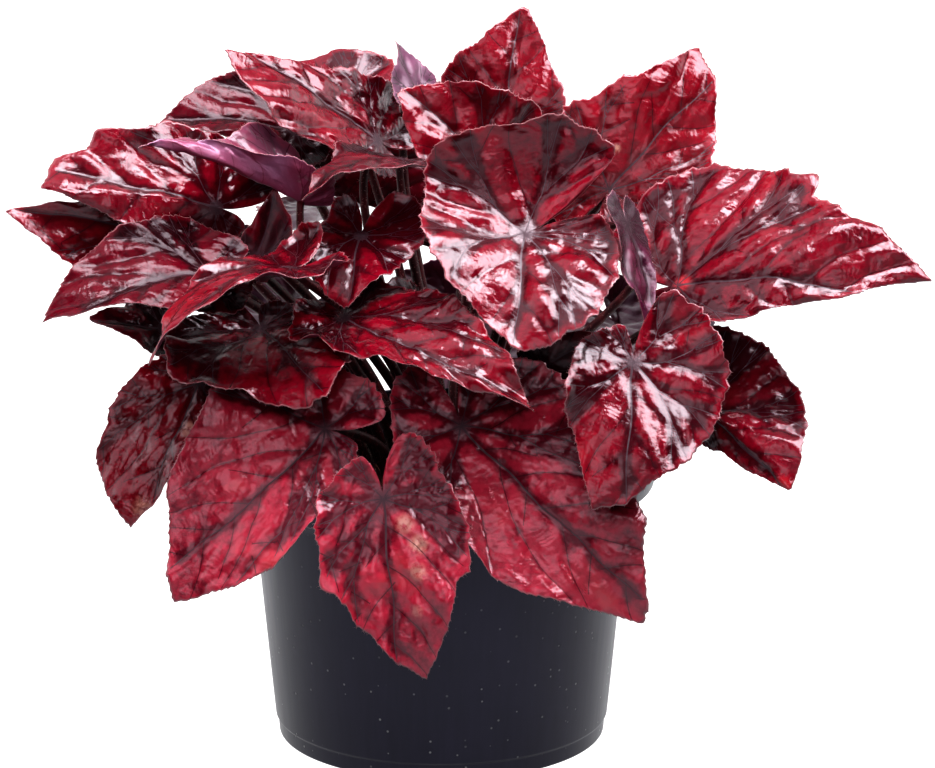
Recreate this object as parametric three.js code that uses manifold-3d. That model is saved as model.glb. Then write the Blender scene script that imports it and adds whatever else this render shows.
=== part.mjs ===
// A potted rex begonia: a low plastic nursery pot, its compost, the creeping rhizome and a dense
// mound of glossy red leaves, each one a quilted blade with its stalk.
// Millimetres, +Z up, the origin at the centre of the pot's underside. -Y is the plant's front.
import * as THREE from "three";
import { mergeVertices } from "three/addons/utils/BufferGeometryUtils.js";
import Module from "manifold-3d";

// Pot
const potHeight = 117;
const potSides = 32;
const footRadius = 65;
const ledgeHeight = 6.5;
const neckRadius = 76;
const neckHeight = 103.3;
const lipRadius = 86;
const wall = 1.3;
const floorThickness = 2.2;
const drainCount = 3;
const drainWidth = 18;
const drainHeight = 4.6;

// Compost and rhizome
const seat = 0.35;
const compostTop = 101;
const bedRadius = 39;
const bedDepth = 7;
const rhizomeTop = 103;

// Leaves
const bladeThickness = 0.9;
const collarThickness = 1.7;
const stalkSides = 5;
const stalkSteps = 4;
const stalkBase = 2.2;
const stalkTip = 1.6;
const stalkFoot = 97;
const rings = [0, 0.28, 0.58, 0.83, 1];
const fewRings = [0, 0.33, 0.7, 1];
// The main veins on each half, in degrees from the midrib. The margin's corners lie on them.
const veins = [28, 62, 100, 140];
// The stalks stand in four rings on the rhizome, the inner ones bearing the top leaves.
const stands = { crown: 8, upper: 15.5, middle: 23, lower: 30 };

const wasm = await Module();
wasm.setup();

const deg = THREE.MathUtils.degToRad;
const V = (p) => new THREE.Vector3(...p);

// Closed geometry to solid and back
function toSolid(geometry) {
  const bare = geometry.index ? geometry.toNonIndexed() : geometry.clone();
  for (const name of Object.keys(bare.attributes)) {
    if (name !== "position") bare.deleteAttribute(name);
  }
  const merged = mergeVertices(bare, 1e-4);
  return new wasm.Manifold(
    new wasm.Mesh({
      numProp: 3,
      vertProperties: new Float32Array(merged.attributes.position.array),
      triVerts: new Uint32Array(merged.index.array),
    }),
  );
}

function toGeometry(solid) {
  const mesh = solid.getMesh();
  const position = new THREE.BufferAttribute(mesh.vertProperties.slice(), 3);
  const geometry = new THREE.BufferGeometry().setAttribute("position", position);
  geometry.setIndex(new THREE.BufferAttribute(mesh.triVerts.slice(), 1));
  geometry.computeVertexNormals();
  return geometry;
}

function lathe(points) {
  const profile = points.map(([r, z]) => new THREE.Vector2(r, z));
  return new THREE.LatheGeometry(profile, potSides).rotateX(Math.PI / 2);
}

// Each leaf is one row. heart is where the stalk meets the blade, tip is the blade's point and face
// is roughly where the upper side looks. left and right are how far the margin reaches at the main
// veins on each side, from the tip round to the basal lobe, as shares of the blade's length. slit
// is where the notch between the basal lobes lies, in degrees round the left side from the midrib.
// fold tilts each half at the midrib and curl bends it on towards its margin (degrees, up is
// positive), arch bends the tip down, rise lifts the basal lobes, cup makes a funnel at the heart.
const leafForm = {
  slit: 180,
  left: [0.62, 0.5, 0.47, 0.42],
  right: [0.62, 0.5, 0.47, 0.42],
  swell: 0.04,
  fold: [0, 0],
  curl: [0, 0],
  arch: 30,
  rise: 15,
  cup: 0.12,
  twist: 0,
  ruffle: 0.025,
  waves: 4,
  phase: 0,
  bow: [0, 0, 0],
  small: false,
  tone: "red",
};

// Upper sides are crimson, the lowest front leaves paler and matter, the shaded inner ones nearly
// black, and two leaves turn their purple undersides forward.
const tones = {
  red: { colour: 0x8a1220, roughness: 0.25 },
  rose: { colour: 0x9c3a44, roughness: 0.45 },
  dark: { colour: 0x470c14, roughness: 0.25 },
  purple: { colour: 0x7d5a80, roughness: 0.4 },
};

const leaves = {
  front_low: {
    heart: [-21, -104, 126], tip: [-5, -118, 59], face: [0.05, -1, 0.2], stand: "lower",
    slit: 172, left: [0.61, 0.47, 0.33, 0.38], right: [0.64, 0.44, 0.34, 0.26], tone: "rose",
  },
  low_left: {
    heart: [-43, -86, 148], tip: [-100, -111, 87], face: [-0.25, -1, 0.3], stand: "lower",
    slit: 121, left: [0.68, 0.36, 0.22, 0.16], right: [0.67, 0.48, 0.32, 0.28], tone: "rose",
  },
  bowl: {
    heart: [-68, -56, 179], tip: [-49, -106, 163], face: [0, -0.7, 0.7], stand: "lower",
    left: [0.95, 0.56, 0.26, 0.2], right: [0.86, 0.95, 0.7, 0.33], cup: 0.4,
  },
  band: {
    heart: [-36, -76, 188], tip: [34, -124, 166], face: [-0.1, -0.35, 0.9], stand: "middle",
    slit: 145, left: [0.6, 0.4, 0.3, 0.25], right: [0.34, 0.2, 0.24, 0.22],
  },
  mid_small: {
    heart: [-30, -52, 214], tip: [-36, -80, 194], face: [-0.1, -0.9, 0.4], stand: "upper",
    left: [0.72, 0.6, 0.74, 0.76], right: [0.76, 0.48, 0.45, 0.55],
  },
  left_front: {
    heart: [-56, -86, 210], tip: [-106, -128, 182], face: [-0.35, -0.25, 0.9], stand: "upper",
    left: [0.4, 0.3, 0.25, 0.3], right: [0.5, 0.3, 0.3, 0.45], rise: 70, arch: 75,
    bow: [16, 30, 14],
  },
  wing: {
    heart: [-70, -56, 206], tip: [-63, -48, 231], face: [0.1, -1, 0.2], stand: "upper",
    left: [0.45, 0.3, 0.22, 0.18], right: [0.7, 0.5, 0.4, 0.3], bow: [0, 16, 0], small: true,
    tone: "dark",
  },
  left_dark: {
    heart: [-87, -74, 205], tip: [-147, -103, 193], face: [-0.35, -0.7, 0.6], stand: "middle",
    left: [0.45, 0.33, 0.3, 0.25], right: [0.69, 0.44, 0.4, 0.34], arch: 50, bow: [8, 30, 10],
    tone: "dark",
  },
  left_lobed: {
    heart: [-85, -46, 224], tip: [-151, -62, 235], face: [-0.1, -0.75, 0.7], stand: "upper",
    left: [0.35, 0.25, 0.22, 0.2], right: [0.74, 0.47, 0.43, 0.4], fold: [-45, 0],
  },
  far_left: {
    heart: [-120, -46, 217], tip: [-164, -58, 225], face: [-0.1, -1, 0.3], stand: "middle",
    left: [0.6, 0.5, 0.35, 0.3], right: [0.5, 0.4, 0.35, 0.3], curl: [0, 130], small: true,
  },
  top_pink: {
    heart: [-25, 4, 239], tip: [-84, -20, 279], face: [-0.2, -0.6, 0.8], stand: "crown",
    left: [0.74, 0.3, 0.2, 0.2], right: [0.46, 0.35, 0.38, 0.26],
  },
  top_back: {
    heart: [-38, 34, 250], tip: [-69, 50, 258], face: [0, -0.6, 0.8], stand: "crown",
    right: [0.7, 0.6, 0.7, 0.75], small: true,
  },
  left_back: {
    heart: [-57, 6, 243], tip: [-107, -8, 248], face: [-0.1, -0.7, 0.7], stand: "upper",
    left: [0.45, 0.4, 0.35, 0.3], right: [0.78, 0.52, 0.4, 0.35], tone: "dark",
  },
  rolled: {
    heart: [-53, -44, 226], tip: [-113, -78, 255], face: [-0.1, -0.3, 1], stand: "crown",
    left: [0.36, 0.25, 0.22, 0.16], right: [0.5, 0.45, 0.3, 0.25], fold: [60, 20],
  },
  dark_mid: {
    heart: [-16, -30, 239], tip: [-51, -74, 233], face: [-0.2, -0.3, 0.95], stand: "crown",
    left: [0.58, 0.44, 0.32, 0.24], right: [0.5, 0.36, 0.28, 0.18], small: true,
    arch: 50, tone: "dark",
  },
  top_pale: {
    heart: [-10, 18, 254], tip: [-17, 30, 273], face: [0.6, -0.5, 0.6], stand: "crown",
    bow: [9, 16, 0], small: true, tone: "purple",
  },
  crown: {
    heart: [25, 14, 241], tip: [34, 32, 285], face: [0, -0.95, 0.3], stand: "crown",
    left: [0.76, 0.65, 0.45, 0.4], right: [0.64, 0.5, 0.42, 0.38],
  },
  behind_crown: {
    heart: [17, -12, 233], tip: [-17, -14, 260], face: [-0.1, -0.85, 0.5], stand: "crown",
    left: [0.65, 0.45, 0.4, 0.35], right: [0.84, 0.66, 0.72, 0.72],
  },
  centre: {
    heart: [32, -60, 217], tip: [31, -104, 183], face: [0, -0.85, 0.5], stand: "upper",
    slit: 115, left: [0.92, 0.88, 0.75, 0.58], right: [0.76, 0.76, 0.98, 1],
    rise: 25, cup: 0.3,
  },
  top_right: {
    heart: [65, -16, 224], tip: [101, 10, 276], face: [0.1, -0.9, 0.4], stand: "upper",
    left: [0.56, 0.52, 0.4, 0.35], right: [0.72, 0.48, 0.36, 0.3],
  },
  right_big: {
    heart: [90, -62, 197], tip: [185, -82, 204], face: [0.05, -0.6, 0.8], stand: "middle",
    slit: 160, left: [0.62, 0.62, 0.56, 0.44], right: [0.36, 0.2, 0.14, 0.12],
    arch: 50, fold: [0, -15],
  },
  purple: {
    heart: [70, -60, 221], tip: [77, -80, 183], face: [0.9, -0.5, 0.2], stand: "upper",
    left: [0.4, 0.3, 0.3, 0.3], right: [0.5, 0.4, 0.3, 0.3], small: true, tone: "purple",
  },
  right_mid: {
    heart: [72, -91, 175], tip: [56, -119, 125], face: [0.1, -1, 0.25], stand: "lower",
    slit: 190, left: [0.74, 0.66, 0.6, 0.56], right: [0.58, 0.46, 0.35, 0.26],
  },
  right_low: {
    heart: [100, -74, 151], tip: [131, -100, 128], face: [0.35, -0.9, 0.4], stand: "lower",
    left: [0.83, 0.78, 0.78, 0.8], right: [0.35, 0.25, 0.2, 0.2], fold: [0, -60],
  },
  low_right: {
    heart: [8, -75, 146], tip: [77, -108, 78], face: [0.15, -1, 0.25], stand: "lower",
    slit: 152, left: [0.68, 0.48, 0.38, 0.26], right: [0.6, 0.32, 0.25, 0.3], curl: [0, 35],
    tone: "rose",
  },
  under_centre: {
    heart: [39, -64, 166], tip: [57, -66, 181], face: [0, -1, 0.2], stand: "middle", small: true,
    tone: "dark",
  },
  low_far_left: {
    heart: [-91, -66, 160], tip: [-117, -91, 110], face: [-0.35, -0.9, 0.2], stand: "lower",
    left: [0.45, 0.35, 0.3, 0.25], right: [0.81, 0.47, 0.3, 0.25],
  },
  dark_low: {
    heart: [-4, -36, 181], tip: [-29, -52, 193], face: [0, -0.3, 0.9], stand: "middle",
    small: true, tone: "dark",
  },
  left_under: {
    heart: [-106, -40, 174], tip: [-133, -50, 182], face: [-0.3, -0.6, 0.7], stand: "lower",
    small: true, tone: "dark",
  },
  rear_low_left: {
    heart: [-62, 68, 150], tip: [-106, 104, 98], face: [-0.5, 1, 0.4], stand: "lower",
    small: true,
  },
  rear_low: {
    heart: [8, 92, 148], tip: [0, 122, 86], face: [0, 1, 0.3], stand: "lower", small: true,
  },
  rear_low_right: {
    heart: [72, 62, 150], tip: [112, 96, 98], face: [0.5, 1, 0.4], stand: "lower", small: true,
  },
  rear_mid_left: {
    heart: [-86, 34, 192], tip: [-132, 62, 168], face: [-0.5, 0.5, 0.9], stand: "middle",
    small: true,
  },
  rear_left: {
    heart: [-42, 78, 196], tip: [-68, 132, 172], face: [-0.3, 0.7, 0.8], stand: "middle",
    small: true,
  },
  rear_right: {
    heart: [46, 74, 198], tip: [-26, 74, 186], face: [0.1, -1, 0.25], stand: "middle",
    small: true,
    left: [0.5, 0.42, 0.36, 0.3],
    right: [0.5, 0.4, 0.36, 0.3],
    tone: "dark",
  },
  rear_mid_right: {
    heart: [86, 34, 192], tip: [134, 72, 178], face: [0.5, 0.5, 0.9], stand: "middle",
    small: true,
  },
  rear_top: {
    heart: [8, 60, 222], tip: [-68, 56, 216], face: [0, -1, 0.25], stand: "upper", small: true,
    left: [0.55, 0.5, 0.42, 0.35],
    right: [0.5, 0.42, 0.38, 0.3],
    tone: "dark",
  },
};

// The margin: how far the blade reaches from the heart at an angle, for a blade 1 long. Between two
// veins it runs straight and swells a little.
function reach(form, angle) {
  const span = angle >= 0 ? form.slit : 360 - form.slit;
  const shares = [1, ...(angle >= 0 ? form.left : form.right)];
  const stations = [0, ...veins].map((a) => (a * span) / 180);
  const a = Math.abs(angle);
  const last = stations.length - 1;
  let body = shares[last] * (1 - (0.1 * (a - stations[last])) / (span - stations[last]));
  for (let k = 0; k < last; k += 1) {
    if (a < stations[k] || a > stations[k + 1]) continue;
    const t = (a - stations[k]) / (stations[k + 1] - stations[k]);
    const d = deg(stations[k + 1] - stations[k]);
    const inverse = Math.sin(d * (1 - t)) / shares[k] + Math.sin(d * t) / shares[k + 1];
    body = (Math.sin(d) / inverse) * (1 + form.swell * Math.sin(Math.PI * t));
  }
  return body * (0.07 + 0.93 * THREE.MathUtils.smoothstep(span - a, -4, 22));
}

// The blade's puff between two neighbouring veins: 0 on a vein and 1 midway.
function puff(form, angle) {
  const a = (Math.abs(angle) * 180) / (angle >= 0 ? form.slit : 360 - form.slit);
  const edges = [0, ...veins, 180];
  let k = 0;
  while (k < edges.length - 2 && a > edges[k + 1]) k += 1;
  return Math.sin((Math.PI * (a - edges[k])) / (edges[k + 1] - edges[k]));
}

// A point of the blade's middle surface, for a blade 1 long, from its flat place (u along the
// midrib, v to the left). Each half is bent as an arc, and then the midrib is.
function bladePoint(form, u, v) {
  const r = Math.hypot(u, v);
  const angle = wrapped(form, THREE.MathUtils.radToDeg(Math.atan2(v, u)));
  const side = v >= 0 ? 0 : 1;
  const across = Math.abs(v);
  const edge = Math.min(1.6, Math.pow(r / 0.5, 2));
  let height = form.cup * (Math.hypot(r, 0.06) - 0.06);
  height += form.ruffle * edge * Math.sin(form.waves * deg(angle) + form.phase);
  height += 0.045 * r * (puff(form, angle) - 0.5);
  const start = deg(form.fold[side]);
  const bend = deg(form.curl[side]) / 0.5;
  const turn = start + bend * across;
  const flat = Math.abs(bend) < 1e-6;
  const out = flat ? across * Math.cos(start) : (Math.sin(turn) - Math.sin(start)) / bend;
  const lift = flat ? across * Math.sin(start) : (Math.cos(start) - Math.cos(turn)) / bend;
  const lean = turn * THREE.MathUtils.smoothstep(across, 0, 0.12);
  const lateral = (v >= 0 ? 1 : -1) * (out - height * Math.sin(lean));
  const up = lift + height * Math.cos(lean);
  const spin = deg(form.twist) * u;
  const y = lateral * Math.cos(spin) - up * Math.sin(spin);
  const z = lateral * Math.sin(spin) + up * Math.cos(spin);
  const rate = u >= 0 ? deg(form.arch) : -deg(form.rise) / 0.5;
  const tilt = rate * u;
  const level = Math.abs(rate) < 1e-6;
  const along = level ? u : Math.sin(tilt) / rate;
  const drop = level ? 0 : (Math.cos(tilt) - 1) / rate;
  return new THREE.Vector3(along + z * Math.sin(tilt), y, drop + z * Math.cos(tilt));
}

// The slit isn't always opposite the midrib, so angles past it belong to the other side.
function wrapped(form, angle) {
  if (angle > form.slit) return angle - 360;
  if (angle < form.slit - 360) return angle + 360;
  return angle;
}

function bladeNormal(form, u, v) {
  const e = 0.012;
  const du = bladePoint(form, u + e, v).sub(bladePoint(form, u - e, v));
  const dv = bladePoint(form, u, v + e).sub(bladePoint(form, u, v - e));
  return du.cross(dv).normalize();
}

// The turn and scale that carry the blade's own tip onto the leaf's tip, with its heart in place.
function placing(form) {
  const own = bladePoint(form, 1, 0);
  const chord = V(form.tip).sub(V(form.heart));
  const scale = chord.length() / own.length();
  const frame = (forward, up) => {
    const x = forward.clone().normalize();
    const z = up.clone().addScaledVector(x, -up.dot(x)).normalize();
    return new THREE.Matrix4().makeBasis(x, z.clone().cross(x), z);
  };
  const turn = frame(chord, V(form.face));
  turn.multiply(frame(own, new THREE.Vector3(0, 0, 1)).transpose());
  return new THREE.Matrix4().makeTranslation(...form.heart).multiply(turn).multiply(
    new THREE.Matrix4().makeScale(scale, scale, scale),
  );
}

function bladeAngles(form) {
  const half = [14, 28, 45, 62, 81, 100, 120, 140, 162];
  const all = [...half.map((a) => -a).reverse(), 0, ...half];
  const stretched = all.map((a) => (a * (a >= 0 ? form.slit : 360 - form.slit)) / 180);
  return [...stretched, form.slit];
}

function bladeSolid(form) {
  const place = placing(form);
  const scale = place.getMaxScaleOnAxis();
  const angles = bladeAngles(form);
  const count = angles.length;
  const shares = form.small ? fewRings : rings;
  const faces = [1, -1].map((side) => {
    const points = [];
    shares.forEach((share, k) => {
      (k ? angles : [0]).forEach((angle) => {
        const r = share * reach(form, angle);
        const u = r * Math.cos(deg(angle));
        const v = r * Math.sin(deg(angle));
        const far = Math.min(1, (r * scale) / 8);
        const thick = THREE.MathUtils.lerp(collarThickness, bladeThickness, far) / scale;
        const p = bladePoint(form, u, v);
        points.push(p.addScaledVector(bladeNormal(form, u, v), (side * thick) / 2));
      });
    });
    return points;
  });
  const at = (k, i) => (k ? 1 + (k - 1) * count + (i % count) : 0);
  const triangles = [];
  for (let i = 0; i < count; i += 1) {
    triangles.push([at(0, 0), at(1, i), at(1, i + 1)]);
    for (let k = 1; k < shares.length - 1; k += 1) {
      triangles.push([at(k, i), at(k + 1, i), at(k + 1, i + 1)]);
      triangles.push([at(k, i), at(k + 1, i + 1), at(k, i + 1)]);
    }
  }
  const base = faces[0].length;
  const index = triangles.flat();
  triangles.forEach(([a, b, c]) => index.push(base + a, base + c, base + b));
  const last = shares.length - 1;
  for (let i = 0; i < count; i += 1) {
    const [a, b] = [at(last, i), at(last, i + 1)];
    index.push(b, a, base + a, b, base + a, base + b);
  }
  const position = faces.flat().flatMap((p) => p.toArray());
  const geometry = new THREE.BufferGeometry();
  geometry.setAttribute("position", new THREE.Float32BufferAttribute(position, 3));
  geometry.setIndex(index);
  return toSolid(geometry.applyMatrix4(place));
}

// A stalk from its place on the rhizome to the blade's heart, or with grow the room it stands in.
function stalkSolid(form, grow = 0) {
  const place = placing(form);
  const normal = bladeNormal(form, 0, 0).transformDirection(place);
  const forward = bladePoint(form, 0.02, 0).transformDirection(place);
  const heart = V(form.heart);
  const foot = new THREE.Vector3(...form.root, stalkFoot - grow);
  const length = heart.distanceTo(foot);
  const arrive = normal.clone().multiplyScalar(0.9).addScaledVector(forward, 0.35).normalize();
  const bow = V(form.bow);
  const rise = foot.clone().add(new THREE.Vector3(0, 0, 0.4 * length)).addScaledVector(bow, 0.15);
  const meet = heart.clone().addScaledVector(arrive, -0.3 * length).add(bow);
  const curve = new THREE.CubicBezierCurve3(foot, rise, meet, heart);
  const points = [];
  const side = new THREE.Vector3(1, 0, 0);
  for (let k = 0; k <= stalkSteps; k += 1) {
    const t = k / stalkSteps;
    const centre = curve.getPoint(t);
    const axis = k === stalkSteps ? normal : curve.getTangent(t);
    side.addScaledVector(axis, -side.dot(axis)).normalize();
    const other = axis.clone().cross(side);
    const radius = THREE.MathUtils.lerp(stalkBase, stalkTip, t) + 1.7 * grow;
    for (let i = 0; i < stalkSides; i += 1) {
      const a = (2 * Math.PI * i) / stalkSides;
      const offset = side.clone().multiplyScalar(Math.cos(a)).addScaledVector(other, Math.sin(a));
      points.push(centre.clone().addScaledVector(offset, radius));
    }
  }
  const index = [];
  for (let k = 0; k < stalkSteps; k += 1) {
    for (let i = 0; i < stalkSides; i += 1) {
      const j = (i + 1) % stalkSides;
      const [a, b] = [k * stalkSides + i, k * stalkSides + j];
      index.push(a, b, b + stalkSides, a, b + stalkSides, a + stalkSides);
    }
  }
  const top = stalkSteps * stalkSides;
  for (let i = 1; i < stalkSides - 1; i += 1) {
    index.push(0, i + 1, i, top, top + i, top + i + 1);
  }
  const geometry = new THREE.BufferGeometry();
  const position = points.flatMap((p) => p.toArray());
  geometry.setAttribute("position", new THREE.Float32BufferAttribute(position, 3));
  geometry.setIndex(index);
  return toSolid(geometry);
}

// The stalks of a ring are spread evenly, in the order of their leaves round the plant.
function standing(forms) {
  for (const [stand, radius] of Object.entries(stands)) {
    const azimuth = (form) => Math.atan2(form.heart[1], form.heart[0]);
    const row = Object.values(forms).filter((form) => form.stand === stand);
    row.sort((a, b) => azimuth(a) - azimuth(b));
    const step = (2 * Math.PI) / row.length;
    const lag = row.map((form, k) => azimuth(form) - k * step);
    const start = lag.reduce((sum, a) => sum + a, 0) / row.length;
    row.forEach((form, k) => {
      const a = start + k * step;
      form.root = [radius * Math.cos(a), radius * Math.sin(a)];
    });
  }
}

const group = new THREE.Group();
function addNode(name, solid, colour, roughness) {
  const material = new THREE.MeshStandardMaterial({ color: colour, roughness, metalness: 0 });
  const mesh = new THREE.Mesh(toGeometry(solid), material);
  mesh.name = name;
  group.add(mesh);
}

// The pot: a tapered bucket with a low ledge at the foot, a wide shoulder and a band at the rim.
function potSolid() {
  const foot = footRadius;
  const shoulder = neckRadius - 1;
  const outside = [
    [0, 0], [foot, 0], [foot + 0.5, ledgeHeight], [foot + 1.4, ledgeHeight + 0.8],
    [shoulder, neckHeight - 6], [neckRadius, neckHeight - 2.5], [lipRadius - 1.8, neckHeight],
    [lipRadius, potHeight - 1], [lipRadius - 0.6, potHeight],
  ];
  const inside = [
    [lipRadius - wall - 0.6, potHeight], [lipRadius - 1.8 - wall, neckHeight + wall],
    [neckRadius - wall, neckHeight - 1], [shoulder - wall, neckHeight - 7],
    [foot + 1.4 - wall, ledgeHeight + 1.5], [foot - wall, floorThickness], [0, floorThickness],
  ];
  const shell = toSolid(lathe([...outside, ...inside]));
  const slot = new THREE.BoxGeometry(drainWidth, 16, 2 * drainHeight);
  const slots = [];
  for (let k = 0; k < drainCount; k += 1) {
    const cut = slot.clone().translate(0, -foot, 0).rotateZ((2 * Math.PI * k) / drainCount);
    slots.push(toSolid(cut));
  }
  return shell.subtract(wasm.Manifold.union(slots));
}

// The compost fills the pot to its shoulder and leaves a shallow bed for the rhizome.
function compostSolid() {
  const side = neckRadius - 1 - wall - seat;
  const base = footRadius - wall - seat;
  const bottom = floorThickness + seat;
  const bed = compostTop - bedDepth;
  const profile = [
    [0, bottom], [base, bottom], [base + 1.4, ledgeHeight + 1.5], [side, neckHeight - 7],
    [side, compostTop - 1.5], [54, compostTop + 0.8], [43, compostTop - 0.8],
    [bedRadius, compostTop], [bedRadius - 1, bed], [0, bed],
  ];
  return toSolid(lathe(profile));
}

// The rhizome: a knobbly low crown of old stem with a socket for each stalk.
function rhizomeSolid(forms) {
  const knobs = 9;
  const sides = 27;
  const levels = [[0, 0], [0.93, 0], [0.97, 0.5], [0.9, 0.92], [0.55, 1], [0, 0.9]];
  const height = rhizomeTop - (compostTop - bedDepth + seat);
  const points = levels.map(([r, h]) => new THREE.Vector2(r, h));
  const geometry = new THREE.LatheGeometry(points, sides).rotateX(Math.PI / 2);
  const at = geometry.attributes.position;
  for (let i = 0; i < at.count; i += 1) {
    const [x, y, z] = [at.getX(i), at.getY(i), at.getZ(i)];
    const bump = 1 - 0.03 * (1 + Math.cos(knobs * Math.atan2(y, x)));
    const r = (bedRadius - 1 - seat) * bump;
    at.setXYZ(i, x * r, y * r, compostTop - bedDepth + seat + z * height);
  }
  const sockets = Object.values(forms).map((form) => stalkSolid(form, seat));
  return toSolid(geometry).subtract(wasm.Manifold.union(sockets));
}

const forms = Object.fromEntries(
  Object.entries(leaves).map(([name, row]) => [name, { ...leafForm, ...row }]),
);
standing(forms);
addNode("pot", potSolid(), 0x2e2d36, 0.5);
addNode("compost", compostSolid(), 0x2a1c14, 0.95);
addNode("rhizome", rhizomeSolid(forms), 0x5a2a22, 0.7);
for (const [name, form] of Object.entries(forms)) {
  const { colour, roughness } = tones[form.tone];
  addNode("leaf_" + name, bladeSolid(form).add(stalkSolid(form)), colour, roughness);
}

export default group;
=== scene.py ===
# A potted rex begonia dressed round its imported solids. The tables are in millimetres and the objects
# in metres, +Z up, with the origin under the pot and -Y at the plant's front.
import math

import bpy
import numpy as np
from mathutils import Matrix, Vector, kdtree


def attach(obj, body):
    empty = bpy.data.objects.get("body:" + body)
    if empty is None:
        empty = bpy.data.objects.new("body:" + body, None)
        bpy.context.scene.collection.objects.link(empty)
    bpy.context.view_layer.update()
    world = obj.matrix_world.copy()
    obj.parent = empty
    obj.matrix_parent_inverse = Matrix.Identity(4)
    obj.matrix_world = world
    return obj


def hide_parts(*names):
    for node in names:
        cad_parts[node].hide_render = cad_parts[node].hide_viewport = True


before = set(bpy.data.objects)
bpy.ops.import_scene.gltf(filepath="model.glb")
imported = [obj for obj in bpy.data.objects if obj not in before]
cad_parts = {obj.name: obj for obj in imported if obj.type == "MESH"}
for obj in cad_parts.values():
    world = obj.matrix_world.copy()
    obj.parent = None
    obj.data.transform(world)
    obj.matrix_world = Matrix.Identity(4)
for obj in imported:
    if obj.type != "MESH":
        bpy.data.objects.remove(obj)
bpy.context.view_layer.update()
mm = 0.001
print("frame loaded with", len(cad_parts), "nodes")

shot = {
    "distance": 1.8,                       # metres
    "pitch": 15.3,                         # degrees below the horizon
    "target": (0.0104, 0.0, 0.142),
    "imageWidth": 935, "perPixel": 0.394,  # pixels, and what one spans at the target in millimetres
    "sensor": 36,
}


def addCamera():
    pitch = math.radians(shot["pitch"])
    data = bpy.data.cameras.new("camera")
    data.sensor_width = shot["sensor"]
    data.lens = shot["sensor"] * shot["distance"] / (shot["imageWidth"] * shot["perPixel"] * mm)
    camera = bpy.data.objects.new("camera", data)
    away = Vector((0, -math.cos(pitch), math.sin(pitch))) * shot["distance"]
    camera.location = Vector(shot["target"]) + away
    camera.rotation_euler = (math.pi / 2 - pitch, 0, 0)
    bpy.context.collection.objects.link(camera)
    bpy.context.scene.camera = camera
    print("camera set")


# Each light: its place and its two sides in metres, and its power in watts. All of them face the plant.
# One that isn't mirrored only lights it, and one that doesn't light only shows in what is glossy.
lights = {
    "softTop": {"place": (0.1, -0.2, 1.3), "size": (0.9, 0.7), "power": 22, "mirrored": False},
    "softFront": {"place": (-0.2, -1.8, 1.2), "size": (1.4, 1.0), "power": 18, "mirrored": False},
    "behind": {"place": (0.0, 2.4, 1.0), "size": (4.5, 2.4), "power": 22},
    "glareTop": {"place": (0.12, -0.08, 1.2), "size": (0.5, 0.45), "power": 12, "lights": False},
    "glareRight": {"place": (0.7, -0.22, 1.0), "size": (0.7, 0.7), "power": 21, "lights": False},
    "glareLeft": {"place": (-0.75, -0.15, 1.05), "size": (1.0, 1.2), "power": 7, "lights": False},
    "glareFront": {"place": (-0.2, -1.9, 1.3), "size": (1.6, 1.1), "power": 10, "lights": False},
    "canopy": {"place": (0.2, 0.5, 1.5), "size": (1.6, 1.0), "power": 4, "lights": False},
    "frontCard": {"place": (0.3, -2.6, 0.8), "size": (3.4, 1.4), "power": 8.5, "lights": False},
    "leftCard": {"place": (-1.9, 0.6, 0.5), "size": (2.0, 1.6), "power": 17, "lights": False},
    "rightCard": {"place": (1.9, 0.6, 0.5), "size": (2.0, 1.6), "power": 24, "lights": False},
}


def addLights():
    middle = Vector((0, 0, 0.2))       # of the plant
    for name, row in lights.items():
        data = bpy.data.lights.new(name, "AREA")
        data.shape = "RECTANGLE"
        data.size, data.size_y = row["size"]
        data.energy = row["power"]
        lamp = bpy.data.objects.new(name, data)
        lamp.location = row["place"]
        lamp.rotation_euler = (Vector(row["place"]) - middle).to_track_quat("Z", "Y").to_euler()
        lamp.visible_diffuse = row.get("lights", True)
        lamp.visible_glossy = row.get("mirrored", True)
        bpy.context.collection.objects.link(lamp)
    print("lights set:", len(lights))


studio = {
    "floorSize": 14, "floorPlace": (0, 3, -0.0006), "floor": (0.3, 0.3, 0.31), "floorGlow": 0.9,
    "back": (1, 1, 1), "room": (0.8, 0.84, 0.95), "roomGlow": 0.018,
}


# The floor glows, so that only a faint shadow shows on it and the pot mirrors it
def addFloor():
    bpy.ops.mesh.primitive_plane_add(size=studio["floorSize"], location=studio["floorPlace"])
    floor = bpy.context.object
    floor.name = "floor"
    material, start = newMaterial("paleFloor")
    lit = start.make("ShaderNodeBsdfDiffuse", {}, {"Color": (*studio["floor"], 1)})
    glowing = {"Color": (*studio["back"], 1), "Strength": studio["floorGlow"]}
    glow = start.make("ShaderNodeEmission", {}, glowing)
    both = start.make("ShaderNodeAddShader", {}, {0: lit, 1: glow})
    start.make("ShaderNodeOutputMaterial", {}, {"Surface": both})
    floor.data.materials.append(material)
    floor.visible_diffuse = False


# White where the camera sees it, and dim for everything else
def addWorld():
    world = bpy.data.worlds.new("studio")
    bpy.context.scene.world = world
    world.use_nodes = True
    world.node_tree.nodes.clear()
    start = Sock(world.node_tree, None)
    seen = start.make("ShaderNodeLightPath", {}, {}, "Is Camera Ray")
    pale = start.make("ShaderNodeBackground", {}, {"Color": (*studio["back"], 1), "Strength": 1.0})
    dimmed = {"Color": (*studio["room"], 1), "Strength": studio["roomGlow"]}
    dim = start.make("ShaderNodeBackground", {}, dimmed)
    both = start.make("ShaderNodeMixShader", {}, {0: seen, 1: dim, 2: pale})
    start.make("ShaderNodeOutputWorld", {}, {"Surface": both})
    print("floor and background set")


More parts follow.
